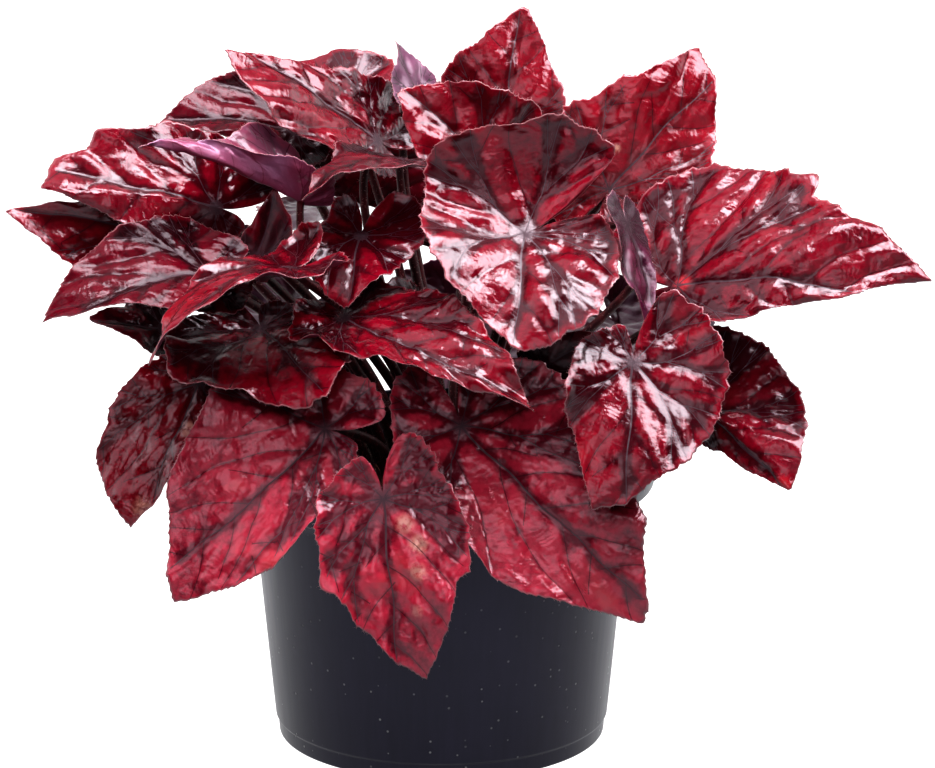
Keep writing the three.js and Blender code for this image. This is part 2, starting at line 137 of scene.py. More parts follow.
# A socket of a node tree. Operators add the Math nodes, and make adds any other node.
class Sock:
    def __init__(self, tree, out):
        self.tree, self.out = tree, out

    def make(self, kind, settings, values, pick=0):
        node = self.tree.nodes.new(kind)
        for name, setting in settings.items():
            setattr(node, name, setting)
        for name, value in values.items():
            if isinstance(value, Sock):
                self.tree.links.new(value.out, node.inputs[name])
            else:
                node.inputs[name].default_value = value
        return Sock(self.tree, node.outputs[pick] if len(node.outputs) else None)

    def maths(self, operation, *values):
        return self.make("ShaderNodeMath", {"operation": operation}, dict(enumerate(values)))

    def __add__(self, other):
        return self.maths("ADD", self, other)

    def __mul__(self, other):
        return self.maths("MULTIPLY", self, other)

    def __sub__(self, other):
        return self.maths("SUBTRACT", self, other)

    def __rsub__(self, other):
        return self.maths("SUBTRACT", other, self)

    __radd__, __rmul__ = __add__, __mul__

    # 0 below low, 1 above high, smooth between
    def between(self, low, high):
        settings = {"interpolation_type": "SMOOTHSTEP"}
        return self.make("ShaderNodeMapRange", settings, {0: self, 1: low, 2: high, 3: 0.0, 4: 1.0})

    # The colour low where this is 0 and high where it is 1
    def tint(self, low, high):
        values = {0: self, 6: colourOf(low), 7: colourOf(high)}
        return self.make("ShaderNodeMix", {"data_type": "RGBA"}, values, 2)

    def noise(self, scale, detail=3.0, rough=0.5, stretch=(1, 1, 1)):
        place = self.make("ShaderNodeTexCoord", {}, {}, "Object")
        place = self.make("ShaderNodeMapping", {}, {"Vector": place, "Scale": stretch})
        values = {"Vector": place, "Scale": scale, "Detail": detail, "Roughness": rough}
        return self.make("ShaderNodeTexNoise", {}, values)

    def attribute(self, name):
        return self.make("ShaderNodeAttribute", {"attribute_name": name}, {}, "Fac")


def colourOf(value):
    return value if isinstance(value, Sock) else (*value, 1)


def newMaterial(name):
    material = bpy.data.materials.new(name)
    material.use_nodes = True
    material.node_tree.nodes.clear()
    return material, Sock(material.node_tree, None)


# The last step of a material: one shader, bumped where a height is given. strength and depth, in
# millimetres, are the bump's, and gloss and veil are the strength and the colour of the reflections.
def finishMaterial(material, colour, rough, height=None, strength=0.4, depth=0.5, gloss=0.5, veil=(1, 1, 1)):
    values = {"Base Color": colour, "Roughness": rough}
    values.update({"Specular IOR Level": gloss, "Specular Tint": (*veil, 1)})
    if height is not None:
        bumped = {"Strength": strength, "Distance": depth * mm, "Height": height}
        values["Normal"] = colour.make("ShaderNodeBump", {}, bumped)
    shader = colour.make("ShaderNodeBsdfPrincipled", {}, values)
    shader.make("ShaderNodeOutputMaterial", {}, {"Surface": shader})
    return material


# What a leaf has when its row doesn't say otherwise. left and right are how far the margin reaches at
# the main veins, as shares of the blade's length, and slit is the notch's angle round the left side.
# The last two lines are only for its look. lobes has an angle from the midrib, a height as a share of
# the length and a width in degrees, and spots a kind, a place along and aside, a size and a strength.
# A small leaf, or one at the back, has a coarser mesh.
leafForm = {
    "slit": 180, "left": [0.62, 0.5, 0.47, 0.42], "right": [0.62, 0.5, 0.47, 0.42], "swell": 0.04,
    "fold": [0, 0], "curl": [0, 0], "arch": 30, "rise": 15, "cup": 0.12, "twist": 0,
    "ruffle": 0.025, "waves": 4, "phase": 0, "bow": [0, 0, 0], "small": False, "tone": "red",
    "puffs": 1, "frill": 0.9, "crinkle": 0.5, "lobes": [], "spots": [],
    "warm": 0.0, "lilac": 0.0,
}


# stand is the ring of the rhizome that the stalk grows from, heart is where the stalk meets the blade,
# tip is the blade's point and face is roughly where its upper side looks.
def leaf(stand, heart, tip, face, **more):
    return {**leafForm, "stand": stand, "heart": heart, "tip": tip, "face": face, **more}


leaves = {
    "front_low": leaf("lower", [-21, -104, 126], [-5, -118, 59], [0.05, -1, 0.2], slit=172,
        left=[0.61, 0.47, 0.33, 0.38], right=[0.64, 0.44, 0.34, 0.26], tone="rose", frill=1.4,
        crinkle=1.0, lobes=[(-48, 0.06, 10), (38, 0.04, 9)], spots=[("tan", 0.16, 0.08, 0.05, 0.7),
        ("tan", 0.28, 0.13, 0.05, 0.8), ("tan", 0.42, 0.09, 0.045, 0.7), ("tan", 0.62, 0.04, 0.03, 0.5)]),
    "low_left": leaf("lower", [-43, -86, 148], [-100, -111, 87], [-0.25, -1, 0.3], slit=121,
        left=[0.68, 0.36, 0.22, 0.16], right=[0.67, 0.48, 0.32, 0.28], tone="rose", puffs=0.75,
        crinkle=0.65, lobes=[(24, 0.05, 8), (-30, 0.03, 10)]),
    "bowl": leaf("lower", [-68, -56, 179], [-49, -106, 163], [0, -0.7, 0.7], left=[0.95, 0.56, 0.26, 0.2],
        right=[0.86, 0.95, 0.7, 0.33], cup=0.4, frill=2.6, puffs=0.9),
    "band": leaf("middle", [-36, -76, 188], [34, -124, 166], [-0.1, -0.35, 0.9], slit=145,
        left=[0.6, 0.4, 0.3, 0.25], right=[0.34, 0.2, 0.24, 0.22], frill=2.4),
    "mid_small": leaf("upper", [-30, -52, 214], [-36, -80, 194], [-0.1, -0.9, 0.4],
        left=[0.72, 0.6, 0.74, 0.76], right=[0.76, 0.48, 0.45, 0.55], frill=1.2, puffs=0.8),
    "left_front": leaf("upper", [-56, -86, 210], [-106, -128, 182], [-0.35, -0.25, 0.9],
        left=[0.4, 0.3, 0.25, 0.3], right=[0.5, 0.3, 0.3, 0.45], rise=70, arch=75, bow=[16, 30, 14],
        frill=1.6),
    "wing": leaf("upper", [-70, -56, 206], [-63, -48, 231], [0.1, -1, 0.2], left=[0.45, 0.3, 0.22, 0.18],
        right=[0.7, 0.5, 0.4, 0.3], bow=[0, 16, 0], small=True, tone="dark"),
    "left_dark": leaf("middle", [-87, -74, 205], [-147, -103, 193], [-0.35, -0.7, 0.6],
        left=[0.45, 0.33, 0.3, 0.25], right=[0.69, 0.44, 0.4, 0.34], arch=50, bow=[8, 30, 10],
        tone="dark"),
    "left_lobed": leaf("upper", [-85, -46, 224], [-151, -62, 235], [-0.1, -0.75, 0.7],
        left=[0.35, 0.25, 0.22, 0.2], right=[0.74, 0.47, 0.43, 0.4], fold=[-45, 0], frill=1.2,
        lobes=[(-13, 0.07, 7), (-30, 0.09, 9), (-58, 0.08, 12), (16, 0.05, 8)]),
    "far_left": leaf("middle", [-120, -46, 217], [-164, -58, 225], [-0.1, -1, 0.3],
        left=[0.6, 0.5, 0.35, 0.3], right=[0.5, 0.4, 0.35, 0.3], curl=[0, 130], small=True, warm=0.1),
    "top_pink": leaf("crown", [-25, 4, 239], [-84, -20, 279], [-0.2, -0.6, 0.8],
        left=[0.74, 0.3, 0.2, 0.2], right=[0.46, 0.35, 0.38, 0.26]),
    "top_back": leaf("crown", [-38, 34, 250], [-69, 50, 258], [0, -0.6, 0.8], right=[0.7, 0.6, 0.7, 0.75],
        small=True),
    "left_back": leaf("upper", [-57, 6, 243], [-107, -8, 248], [-0.1, -0.7, 0.7],
        left=[0.45, 0.4, 0.35, 0.3], right=[0.78, 0.52, 0.4, 0.35], tone="dark"),
    "rolled": leaf("crown", [-53, -44, 226], [-113, -78, 255], [-0.1, -0.3, 1],
        left=[0.36, 0.25, 0.22, 0.16], right=[0.5, 0.45, 0.3, 0.25], fold=[60, 20], lilac=0.35),
    "dark_mid": leaf("crown", [-16, -30, 239], [-51, -74, 233], [-0.2, -0.3, 0.95],
        left=[0.58, 0.44, 0.32, 0.24], right=[0.5, 0.36, 0.28, 0.18], small=True, arch=50, tone="dark",
        frill=1.5),
    "top_pale": leaf("crown", [-10, 18, 254], [-17, 30, 273], [0.6, -0.5, 0.6], bow=[9, 16, 0],
        small=True, tone="purple", lilac=0.4),
    "crown": leaf("crown", [25, 14, 241], [34, 32, 285], [0, -0.95, 0.3], left=[0.76, 0.65, 0.45, 0.4],
        right=[0.64, 0.5, 0.42, 0.38], warm=0.15, puffs=0.7),
    "behind_crown": leaf("crown", [17, -12, 233], [-17, -14, 260], [-0.1, -0.85, 0.5],
        left=[0.65, 0.45, 0.4, 0.35], right=[0.84, 0.66, 0.72, 0.72], warm=0.1),
    "centre": leaf("upper", [32, -60, 217], [31, -104, 183], [0, -0.85, 0.5], slit=115,
        left=[0.92, 0.88, 0.75, 0.58], right=[0.76, 0.76, 0.98, 1], rise=25, cup=0.3),
    "top_right": leaf("upper", [65, -16, 224], [101, 10, 276], [0.1, -0.9, 0.4],
        left=[0.56, 0.52, 0.4, 0.35], right=[0.72, 0.48, 0.36, 0.3], warm=0.2, puffs=0.6,
        lobes=[(28, 0.05, 9)], spots=[("tan", 0.22, 0.09, 0.022, 1.0)]),
    "right_big": leaf("middle", [90, -62, 197], [185, -82, 204], [0.05, -0.6, 0.8], slit=160,
        left=[0.62, 0.62, 0.56, 0.44], right=[0.36, 0.2, 0.14, 0.12], arch=50, fold=[0, -15], puffs=1.15,
        lobes=[(13, 0.04, 5), (24, 0.05, 5), (38, 0.05, 6), (-10, 0.03, 5)],
        spots=[("warm", 0.02, 0.01, 0.035, 1.0)]),
    "purple": leaf("upper", [70, -60, 221], [77, -80, 183], [0.9, -0.5, 0.2], left=[0.4, 0.3, 0.3, 0.3],
        right=[0.5, 0.4, 0.3, 0.3], small=True, tone="purple"),
    "right_mid": leaf("lower", [72, -91, 175], [56, -119, 125], [0.1, -1, 0.25], slit=190,
        left=[0.74, 0.66, 0.6, 0.56], right=[0.58, 0.46, 0.35, 0.26], frill=1.3, puffs=0.55,
        crinkle=0.45),
    "right_low": leaf("lower", [100, -74, 151], [131, -100, 128], [0.35, -0.9, 0.4],
        left=[0.83, 0.78, 0.78, 0.8], right=[0.35, 0.25, 0.2, 0.2], fold=[0, -60], crinkle=1.0,
        spots=[("warm", 0.93, 0.0, 0.06, 0.9)]),
    "low_right": leaf("lower", [8, -75, 146], [77, -108, 78], [0.15, -1, 0.25], slit=152,
        left=[0.68, 0.48, 0.38, 0.26], right=[0.6, 0.32, 0.25, 0.3], curl=[0, 35], tone="rose",
        puffs=0.65, crinkle=0.55, lobes=[(20, 0.05, 8), (-24, 0.03, 10)]),
    "under_centre": leaf("middle", [39, -64, 166], [57, -66, 181], [0, -1, 0.2], small=True, tone="dark"),
    "low_far_left": leaf("lower", [-91, -66, 160], [-117, -91, 110], [-0.35, -0.9, 0.2],
        left=[0.45, 0.35, 0.3, 0.25], right=[0.81, 0.47, 0.3, 0.25], warm=0.15, crinkle=1.1,
        spots=[("tan", 0.3, 0.1, 0.06, 0.7), ("tan", 0.85, 0.03, 0.06, 0.6)]),
    "dark_low": leaf("middle", [-4, -36, 181], [-29, -52, 193], [0, -0.3, 0.9], small=True, tone="dark"),
    "left_under": leaf("lower", [-106, -40, 174], [-133, -50, 182], [-0.3, -0.6, 0.7], small=True,
        tone="dark"),
    "rear_low_left": leaf("lower", [-62, 68, 150], [-106, 104, 98], [-0.5, 1, 0.4], small=True),
    "rear_low": leaf("lower", [8, 92, 148], [0, 122, 86], [0, 1, 0.3], small=True),
    "rear_low_right": leaf("lower", [72, 62, 150], [112, 96, 98], [0.5, 1, 0.4], small=True),
    "rear_mid_left": leaf("middle", [-86, 34, 192], [-132, 62, 168], [-0.5, 0.5, 0.9], small=True),
    "rear_left": leaf("middle", [-42, 78, 196], [-68, 132, 172], [-0.3, 0.7, 0.8], small=True),
    "rear_right": leaf("middle", [46, 74, 198], [-26, 74, 186], [0.1, -1, 0.25], small=True,
        left=[0.5, 0.42, 0.36, 0.3], right=[0.5, 0.4, 0.36, 0.3], tone="dark"),
    "rear_mid_right": leaf("middle", [86, 34, 192], [134, 72, 178], [0.5, 0.5, 0.9], small=True),
    "rear_top": leaf("upper", [8, 60, 222], [-68, 56, 216], [0, -1, 0.25], small=True,
        left=[0.55, 0.5, 0.42, 0.35], right=[0.5, 0.42, 0.38, 0.3], tone="dark"),
}

veinAngles = np.array([0, 28, 62, 100, 140, 180.0])   # the last is the notch
stands = {"crown": 8, "upper": 15.5, "middle": 23, "lower": 30}

blade = {
    "thickness": 0.62, "marginThickness": 0.34, "collar": 1.5,   # collar is at the heart
    "spacing": 1.12, "coarser": 1.45,                   # of the points, and how much wider on small ones
    "ringShare": 0.7, "lastRing": 0.985, "thinned": (0.11, 0.24, 0.48),
    "veinDepth": 1.1, "veinRidge": 1.8, "veinWidth": 0.9,
    "puffRise": 2.1, "puffReach": 3.0, "ripple": 0.06, "ripplePitch": 3.9,
    "crumple": 1.2, "dent": 0.32, "dentSize": 3.4, "crinkle": 0.3, "crinkleSize": 1.25,
    "tooth": 0.8, "toothPitch": 3.2, "lobe": 2.4, "sideLobe": 0.8,
    "hairs": 190, "hairLength": 1.25, "hairWidth": 0.055, "hairSpread": 0.55,
}

# The pattern of the veins. mains has a row for each vein from the heart: which side of the midrib it
# is on, its share of the way round to the notch and its half width at the heart.
venation = {
    "step": 1.25, "sideAngle": 50, "sidePitch": 13.5, "sideHalf": 0.14, "apart": 3.4,
    "sideWeight": 0.7, "forks": [(0.3, 0.42), (0.62, 0.76)], "forkAngle": (11, 19), "forkShare": 0.82,
    "end": 0.975, "sideEnd": 0.98, "thinnest": 0.13, "sideThinnest": 0.08, "young": 2.5, "most": 5800,
    "mains": [(1, 0, 0.36), (1, 0.3, 0.28), (-1, 0.27, 0.28), (1, 0.56, 0.25), (-1, 0.53, 0.25),
              (1, 0.79, 0.2), (-1, 0.8, 0.2)],
}

stalk = {
    "base": 2.2, "tip": 1.6, "foot": 97, "sides": 12, "steps": 34,
    "hairs": 150, "hairLength": 1.7, "hairWidth": 0.07, "hairSpread": 0.45, "hairRoot": 0.2,
}


def smooth(x, low, high):
    t = np.clip((x - low) / (high - low), 0, 1)
    return t * t * (3 - 2 * t)


def unit(v):
    return v / np.maximum(np.linalg.norm(v, axis=-1, keepdims=True), 1e-9)


# How far the blade reaches from the heart at each angle (degrees), for a blade 1 long
def reach(form, angle):
    out = np.zeros_like(angle)
    for sign, side in ((1, "left"), (-1, "right")):
        span = form["slit"] if sign > 0 else 360 - form["slit"]
        here = angle * sign > 0 if sign < 0 else angle >= 0
        a = np.abs(angle[here])
        at = veinAngles[:5] * span / 180
        shares = np.array([1, *form[side]])
        body = shares[4] * (1 - 0.1 * (a - at[4]) / (span - at[4]))
        for k in range(4):
            gap = (a >= at[k]) & (a <= at[k + 1])
            t = (a[gap] - at[k]) / (at[k + 1] - at[k])
            wide = math.radians(at[k + 1] - at[k])
            inverse = np.sin(wide * (1 - t)) / shares[k] + np.sin(wide * t) / shares[k + 1]
            body[gap] = math.sin(wide) / inverse * (1 + form["swell"] * np.sin(math.pi * t))
        out[here] = body * (0.07 + 0.93 * smooth(span - a, -4, 22))
    return out


def stationOf(form, angle):
    return np.where(angle >= 0, angle * 180 / form["slit"], angle * 180 / (360 - form["slit"]))


# A point of the blade's middle surface, for a blade 1 long, from its flat place
def bladePoint(form, u, v):
    r = np.hypot(u, v)
    angle = np.degrees(np.arctan2(v, u))
    angle = np.where(angle > form["slit"] + 1e-6, angle - 360, angle)
    angle = np.where(angle < form["slit"] - 360 - 1e-6, angle + 360, angle)
    station = np.abs(stationOf(form, angle))
    k = np.clip(np.searchsorted(veinAngles, station, side="left") - 1, 0, 4)
    puff = np.sin(math.pi * (station - veinAngles[k]) / (veinAngles[k + 1] - veinAngles[k]))
    side = (v < 0).astype(int)
    across = np.abs(v)
    edge = np.minimum(1.6, (r / 0.5) ** 2)
    height = form["cup"] * (np.hypot(r, 0.06) - 0.06)
    height += form["ruffle"] * edge * np.sin(form["waves"] * np.radians(angle) + form["phase"])
    height += 0.02 * r * (puff - 0.5)
    fold = np.radians(np.array(form["fold"], float))[side]
    bend = np.radians(np.array(form["curl"], float))[side] / 0.5
    turn = fold + bend * across
    flat = np.abs(bend) < 1e-6
    safe = np.where(flat, 1, bend)
    out = np.where(flat, across * np.cos(fold), (np.sin(turn) - np.sin(fold)) / safe)
    lift = np.where(flat, across * np.sin(fold), (np.cos(fold) - np.cos(turn)) / safe)
    lean = turn * smooth(across, 0, 0.12)
    lateral = np.where(v >= 0, 1, -1) * (out - height * np.sin(lean))
    up = lift + height * np.cos(lean)
    spin = math.radians(form["twist"]) * u
    y = lateral * np.cos(spin) - up * np.sin(spin)
    z = lateral * np.sin(spin) + up * np.cos(spin)
    rate = np.where(u >= 0, math.radians(form["arch"]), -math.radians(form["rise"]) / 0.5)
    level = np.abs(rate) < 1e-6
    safe = np.where(level, 1, rate)
    tilt = rate * u
    along = np.where(level, u, np.sin(tilt) / safe)
    drop = np.where(level, 0, (np.cos(tilt) - 1) / safe)
    return np.stack([along + z * np.sin(tilt), y, drop + z * np.cos(tilt)], -1)


def bladeNormal(form, u, v):
    e = 0.012
    du = bladePoint(form, u + e, v) - bladePoint(form, u - e, v)
    dv = bladePoint(form, u, v + e) - bladePoint(form, u, v - e)
    return unit(np.cross(du, dv))


# The turn and the scale that carry the blade's own tip onto the leaf's tip
def placing(form):
    def axes(forward, up):
        x = forward / np.linalg.norm(forward)
        z = up - x * (up @ x)
        z /= np.linalg.norm(z)
        return np.stack([x, np.cross(z, x), z], 1)

    own = bladePoint(form, np.array(1.0), np.array(0.0))
    chord = np.array(form["tip"], float) - np.array(form["heart"], float)
    turn = axes(chord, np.array(form["face"], float)) @ axes(own, np.array([0, 0, 1.0])).T
    return turn, np.linalg.norm(chord) / np.linalg.norm(own)


def azimuth(form):
    return math.atan2(form["heart"][1], form["heart"][0])


# The stalks of a ring are spread evenly, in the order of their leaves round the plant
def setRoots():
    for stand, radius in stands.items():
        row = sorted((form for form in leaves.values() if form["stand"] == stand), key=azimuth)
        step = 2 * math.pi / len(row)
        first = sum(azimuth(form) - k * step for k, form in enumerate(row)) / len(row)
        for k, form in enumerate(row):
            a = first + k * step
            form["root"] = (radius * math.cos(a), radius * math.sin(a))


# Everything that one piece's mesh is gathered from: points, faces, a material for each face and
# values for each point, which the shaders read.
class Heap:
    def __init__(self, names=()):
        self.points, self.faces, self.slots, self.count = [], [], [], 0
        self.values = {name: [] for name in names}

    def add(self, points, faces, slot=0, **values):
        points = np.asarray(points, float).reshape(-1, 3)
        for face in faces:
            self.join(np.asarray(face) + self.count, slot)
        self.points.append(points)
        for name, kept in self.values.items():
            kept.append(np.broadcast_to(np.asarray(values.get(name, 0.0), float), len(points)))
        self.count += len(points)

    # Faces on points that are already in the heap
    def join(self, face, slot):
        self.faces.append(face)
        self.slots.append(np.full(len(face), slot))

    def build(self, name, materials):
        mesh = bpy.data.meshes.new(name)
        points = np.concatenate(self.points) * mm
        loops = np.concatenate([face.ravel() for face in self.faces])
        sizes = np.concatenate([np.full(len(face), face.shape[1]) for face in self.faces])
        mesh.vertices.add(len(points))
        mesh.vertices.foreach_set("co", points.astype(np.float32).ravel())
        mesh.loops.add(len(loops))
        mesh.loops.foreach_set("vertex_index", loops.astype(np.int32))
        mesh.polygons.add(len(sizes))
        starts = np.concatenate([[0], np.cumsum(sizes)[:-1]])
        mesh.polygons.foreach_set("loop_start", starts.astype(np.int32))
        mesh.polygons.foreach_set("material_index", np.concatenate(self.slots).astype(np.int32))
        mesh.polygons.foreach_set("use_smooth", np.ones(len(sizes), bool))
        for material in materials:
            mesh.materials.append(material)
        for key, kept in self.values.items():
            layer = mesh.attributes.new(key, "FLOAT", "POINT")
            layer.data.foreach_set("value", np.concatenate(kept).astype(np.float32))
        mesh.update()
        mesh.validate()
        piece = bpy.data.objects.new(name, mesh)
        bpy.context.collection.objects.link(piece)
        return piece


# The quads between rows of points. Closed rows go all the way round.
def gridQuads(rows, columns, closed=True):
    k, i = np.meshgrid(np.arange(rows - 1), np.arange(columns if closed else columns - 1), indexing="ij")
    j = (i + 1) % columns
    corners = k * columns + i, k * columns + j, (k + 1) * columns + j, (k + 1) * columns + i
    return np.stack(corners, -1).reshape(-1, 4)


# Thin three-sided hairs from the given points, each with its own direction and length
def addHairs(heap, places, ways, lengths, width, slot):
    n = len(places)
    ways = unit(ways)
    side = unit(np.cross(ways, np.where(np.abs(ways[:, 2:]) < 0.8, [[0, 0, 1.0]], [[1.0, 0, 0]])))
    other = np.cross(ways, side)
    corners = []
    for k in range(3):
        a = 2 * math.pi * k / 3
        corners.append(places + width * (side * math.cos(a) + other * math.sin(a)))
    points = np.stack([*corners, places + ways * lengths[:, None]], 1).reshape(-1, 3)
    first = 4 * np.arange(n)[:, None]
    faces = [first + [0, 1, 3], first + [1, 2, 3], first + [2, 0, 3], first + [2, 1, 0]]
    heap.add(points, faces, slot)


# Uneven waves, between about -1 and 1
def noiseLine(x, y, seed):
    a, b, c = seed * 2.3, seed * 4.1, seed * 1.7
    return (np.sin(x + a) * np.cos(y * 1.2 + b) + 0.6 * np.sin(1.9 * x - 1.3 * y + c)) / 1.6


# Waves in several directions that bend one another, so that no direction shows
def wrinkle(x, y, seed):
    total = 0.0
    for k in range(5):
        a = 2.4 * k + seed
        total = total + np.sin(x * math.cos(a) + y * math.sin(a) + 3.7 * k + 1.3 * total)
    return total / 2.5


# The veins of one blade in its flat plane, as rows of x, y, heading and half width: the midrib, the main
# veins with their forks, and the side veins, which grow until they come near the margin or another vein.
class Veins:
    def __init__(self, form, length, rng):
        self.slit, self.rng = form["slit"], rng
        self.angles = np.linspace(form["slit"] - 360, form["slit"], 360 + 1)
        self.edges = reach(form, self.angles) * length
        self.main, self.side, self.seeds = [], [], []
        self.taken = np.zeros((venation["most"] + 200, 2))
        self.count = 0
        for sign, share, half in venation["mains"]:
            span = form["slit"] if sign > 0 else 360 - form["slit"]
            heading = math.radians(sign * share * span + rng.uniform(-4, 4))
            self.growMain(0.0, 0.0, heading, half, 0 if share > 0 else -1)
        for x, y, heading in sorted(self.seeds, key=lambda seed: math.hypot(*seed[:2])):
            self.growSide(x, y, heading)
        self.main, self.side = np.array(self.main), np.array(self.side)

    def shareAt(self, x, y):
        angle = math.degrees(math.atan2(y, x))
        if angle > self.slit:
            angle -= 360
        elif angle < self.slit - 360:
            angle += 360
        return math.hypot(x, y) / max(1e-3, float(np.interp(angle, self.angles, self.edges)))

    def note(self, rows, x, y, heading, half):
        rows.append((x, y, heading, half))
        self.taken[self.count] = x, y
        self.count += 1

    # level counts the forks behind this stretch, or is -1 on the midrib, which has none
    def growMain(self, x, y, heading, half, level, gone=0.0):
        rng, step = self.rng, venation["step"]
        bend = rng.uniform(-0.2, 0.2)
        sway, side = rng.uniform(0, 6), rng.choice([-1, 1])
        full = 0.97 * float(np.interp(math.degrees(heading), self.angles, self.edges))
        fork = 1e6
        if 0 <= level < len(venation["forks"]):
            fork = full * rng.uniform(*venation["forks"][level])
        branch = gone + (rng.uniform(4, 9) if gone else rng.uniform(9, 13))
        while self.shareAt(x, y) < venation["end"] and self.count < venation["most"]:
            self.note(self.main, x, y, heading, half)
            heading += math.radians(bend + 1.1 * math.sin(gone / 5.0 + sway)) * step
            x += step * math.cos(heading)
            y += step * math.sin(heading)
            gone += step
            half = max(venation["thinnest"], half * (1 - 0.9 * step / max(full, 20)))
            if gone > fork:
                turns = rng.uniform(*venation["forkAngle"]), -rng.uniform(*venation["forkAngle"])
                thinner = venation["forkShare"] * half
                for turn in turns:
                    self.growMain(x, y, heading + math.radians(turn), thinner, level + 1, gone)
                return
            if gone > branch:
                turn = side * math.radians(venation["sideAngle"] + rng.uniform(-6, 6))
                self.seeds.append((x, y, heading + turn))
                side = -side
                branch = gone + venation["sidePitch"] * rng.uniform(0.4, 0.62)

    # A side vein keeps away from all that stood while it was young
    def growSide(self, x, y, heading):
        step = venation["step"]
        forward = -math.copysign(1, math.sin(heading - math.atan2(y, x)))
        sway, half, gone = self.rng.uniform(0, 6), venation["sideHalf"], 0.0
        while self.shareAt(x, y) < venation["sideEnd"] and self.count < venation["most"]:
            if gone <= venation["young"]:
                others = self.count
            else:
                near = np.min(np.hypot(*(self.taken[:others] - (x, y)).T))
                if near < min(venation["apart"], 0.5 * gone):
                    return
            self.note(self.side, x, y, heading, half)
            heading += math.radians(0.75 * forward + 1.4 * math.sin(gone / 3.2 + sway)) * step
            x += step * math.cos(heading)
            y += step * math.sin(heading)
            gone += step
            half = max(venation["sideThinnest"], half * 0.985)


# For each flat point: how far the nearest vein is, on which side and how wide that vein is there
def veinField(rows, x, y):
    tree = kdtree.KDTree(len(rows))
    for k, row in enumerate(rows):
        tree.insert((row[0], row[1], 0), k)
    tree.balance()
    found = [tree.find((a, b, 0))[1] for a, b in zip(x.ravel().tolist(), y.ravel().tolist())]
    near = rows[found].reshape(*x.shape, 4)
    dx, dy = x - near[..., 0], y - near[..., 1]
    cosine, sine = np.cos(near[..., 2]), np.sin(near[..., 2])
    across = cosine * dy - sine * dx
    beyond = np.maximum(np.abs(cosine * dx + sine * dy) - 0.7 * venation["step"], 0)
    return across, np.hypot(across, beyond), near[..., 3]


# How deep in the creases each flat point is: 1 on a main vein, 0 out on the puffs. It adds up an even
# falloff from every point of the veins, so the puffs between them come out round.
def creaseField(veins, x, y):
    rows = np.concatenate([veins.main, veins.side])
    weight = np.repeat([1.0, venation["sideWeight"]], [len(veins.main), len(veins.side)])
    places = np.stack([x.ravel(), y.ravel()], 1).astype(np.float32)
    nodes = rows[:, :2].astype(np.float32)
    total = np.empty(len(places), np.float32)
    batch = 4000                       # points at a time, to save memory
    for first in range(0, len(places), batch):
        part = places[first:first + batch]
        far = np.sqrt(((part[:, None] - nodes[None]) ** 2).sum(-1) + 0.1)
        total[first:first + batch] = np.exp(-far / (0.5 * blade["puffReach"])) @ weight
    full = blade["puffReach"] / venation["step"]
    return (1 - np.exp(-1.6 * total / full)).reshape(x.shape)


# The directions of a blade's points from its heart, spread evenly along the margin, and how far along
# the margin each of them meets it
def bladeRays(form, length, spacing):
    angles = np.linspace(form["slit"] - 360, form["slit"], 4 * 360 + 1)
    edges = reach(form, angles) * length
    ends = np.stack([edges * np.cos(np.radians(angles)), edges * np.sin(np.radians(angles))], 1)
    walked = np.concatenate([[0], np.cumsum(np.linalg.norm(np.diff(ends, axis=0), axis=1))])
    pace = 0.8 * walked / walked[-1] + 0.2 * np.linspace(0, 1, len(angles))
    count = 16 * round(walked[-1] / (16 * spacing))
    angle = np.interp((np.arange(count) + 0.5) / count, pace, angles)
    return angle, np.interp(angle, angles, walked)


# How far the margin stands out at each direction: its teeth, a small lobe at each vein, and the lobes
# of the leaf's own row
def marginTeeth(form, veins, angle, edge, walk, length, seed):
    inside = 0.96 * edge
    inside = inside * np.cos(np.radians(angle)), inside * np.sin(np.radians(angle))
    toMain, toSide = veinField(veins.main, *inside)[1], veinField(veins.side, *inside)[1]
    warp = 0.7 * np.sin(walk / 9.1 + seed) + 0.5 * np.sin(walk / 5.3 + 2 * seed)
    saw = (walk / blade["toothPitch"] + warp) % 1
    teeth = blade["tooth"] * (np.where(saw < 0.7, saw / 0.7, (1 - saw) / 0.3) - 0.5)
    small = blade["sideLobe"] * (np.exp(-(toSide / 2.5)) - 0.4)
    teeth += blade["lobe"] * (np.exp(-(toMain / 4.5)) - 0.35) + small
    for at, high, wide in form["lobes"]:
        teeth += length * high * np.maximum(0, 1 - np.abs(angle - at) / wide)
    return teeth


# The faces between rings of points, with fewer points round the inner rings, which of the points they
# use, and the number of each
def ringFaces(share, count):
    step = np.select([share < limit for limit in blade["thinned"]], [8, 4, 2], 1)
    used = np.zeros((len(share), count), bool)
    used[0, 0] = True
    for ring in range(1, len(share)):
        used[ring, ::step[ring]] = True
    index = np.cumsum(used.ravel()).reshape(used.shape) - 1
    first = index[1, ::step[1]]
    faces = [np.stack([np.full(len(first), index[0, 0]), first, np.roll(first, -1)], 1)]
    for ring in range(2, len(share)):
        outer = index[ring, ::step[ring]]
        inner = index[ring - 1, ::step[ring - 1]]
        later = np.roll(inner, -1)
        if step[ring] == step[ring - 1]:
            faces.append(np.stack([inner, outer, np.roll(outer, -1), later], 1))
        else:
            even, odd, end = outer[::2], outer[1::2], np.roll(outer[::2], -1)
            for corners in ((inner, even, odd), (inner, odd, later), (later, odd, end)):
                faces.append(np.stack(corners, 1))
    return faces, used, index


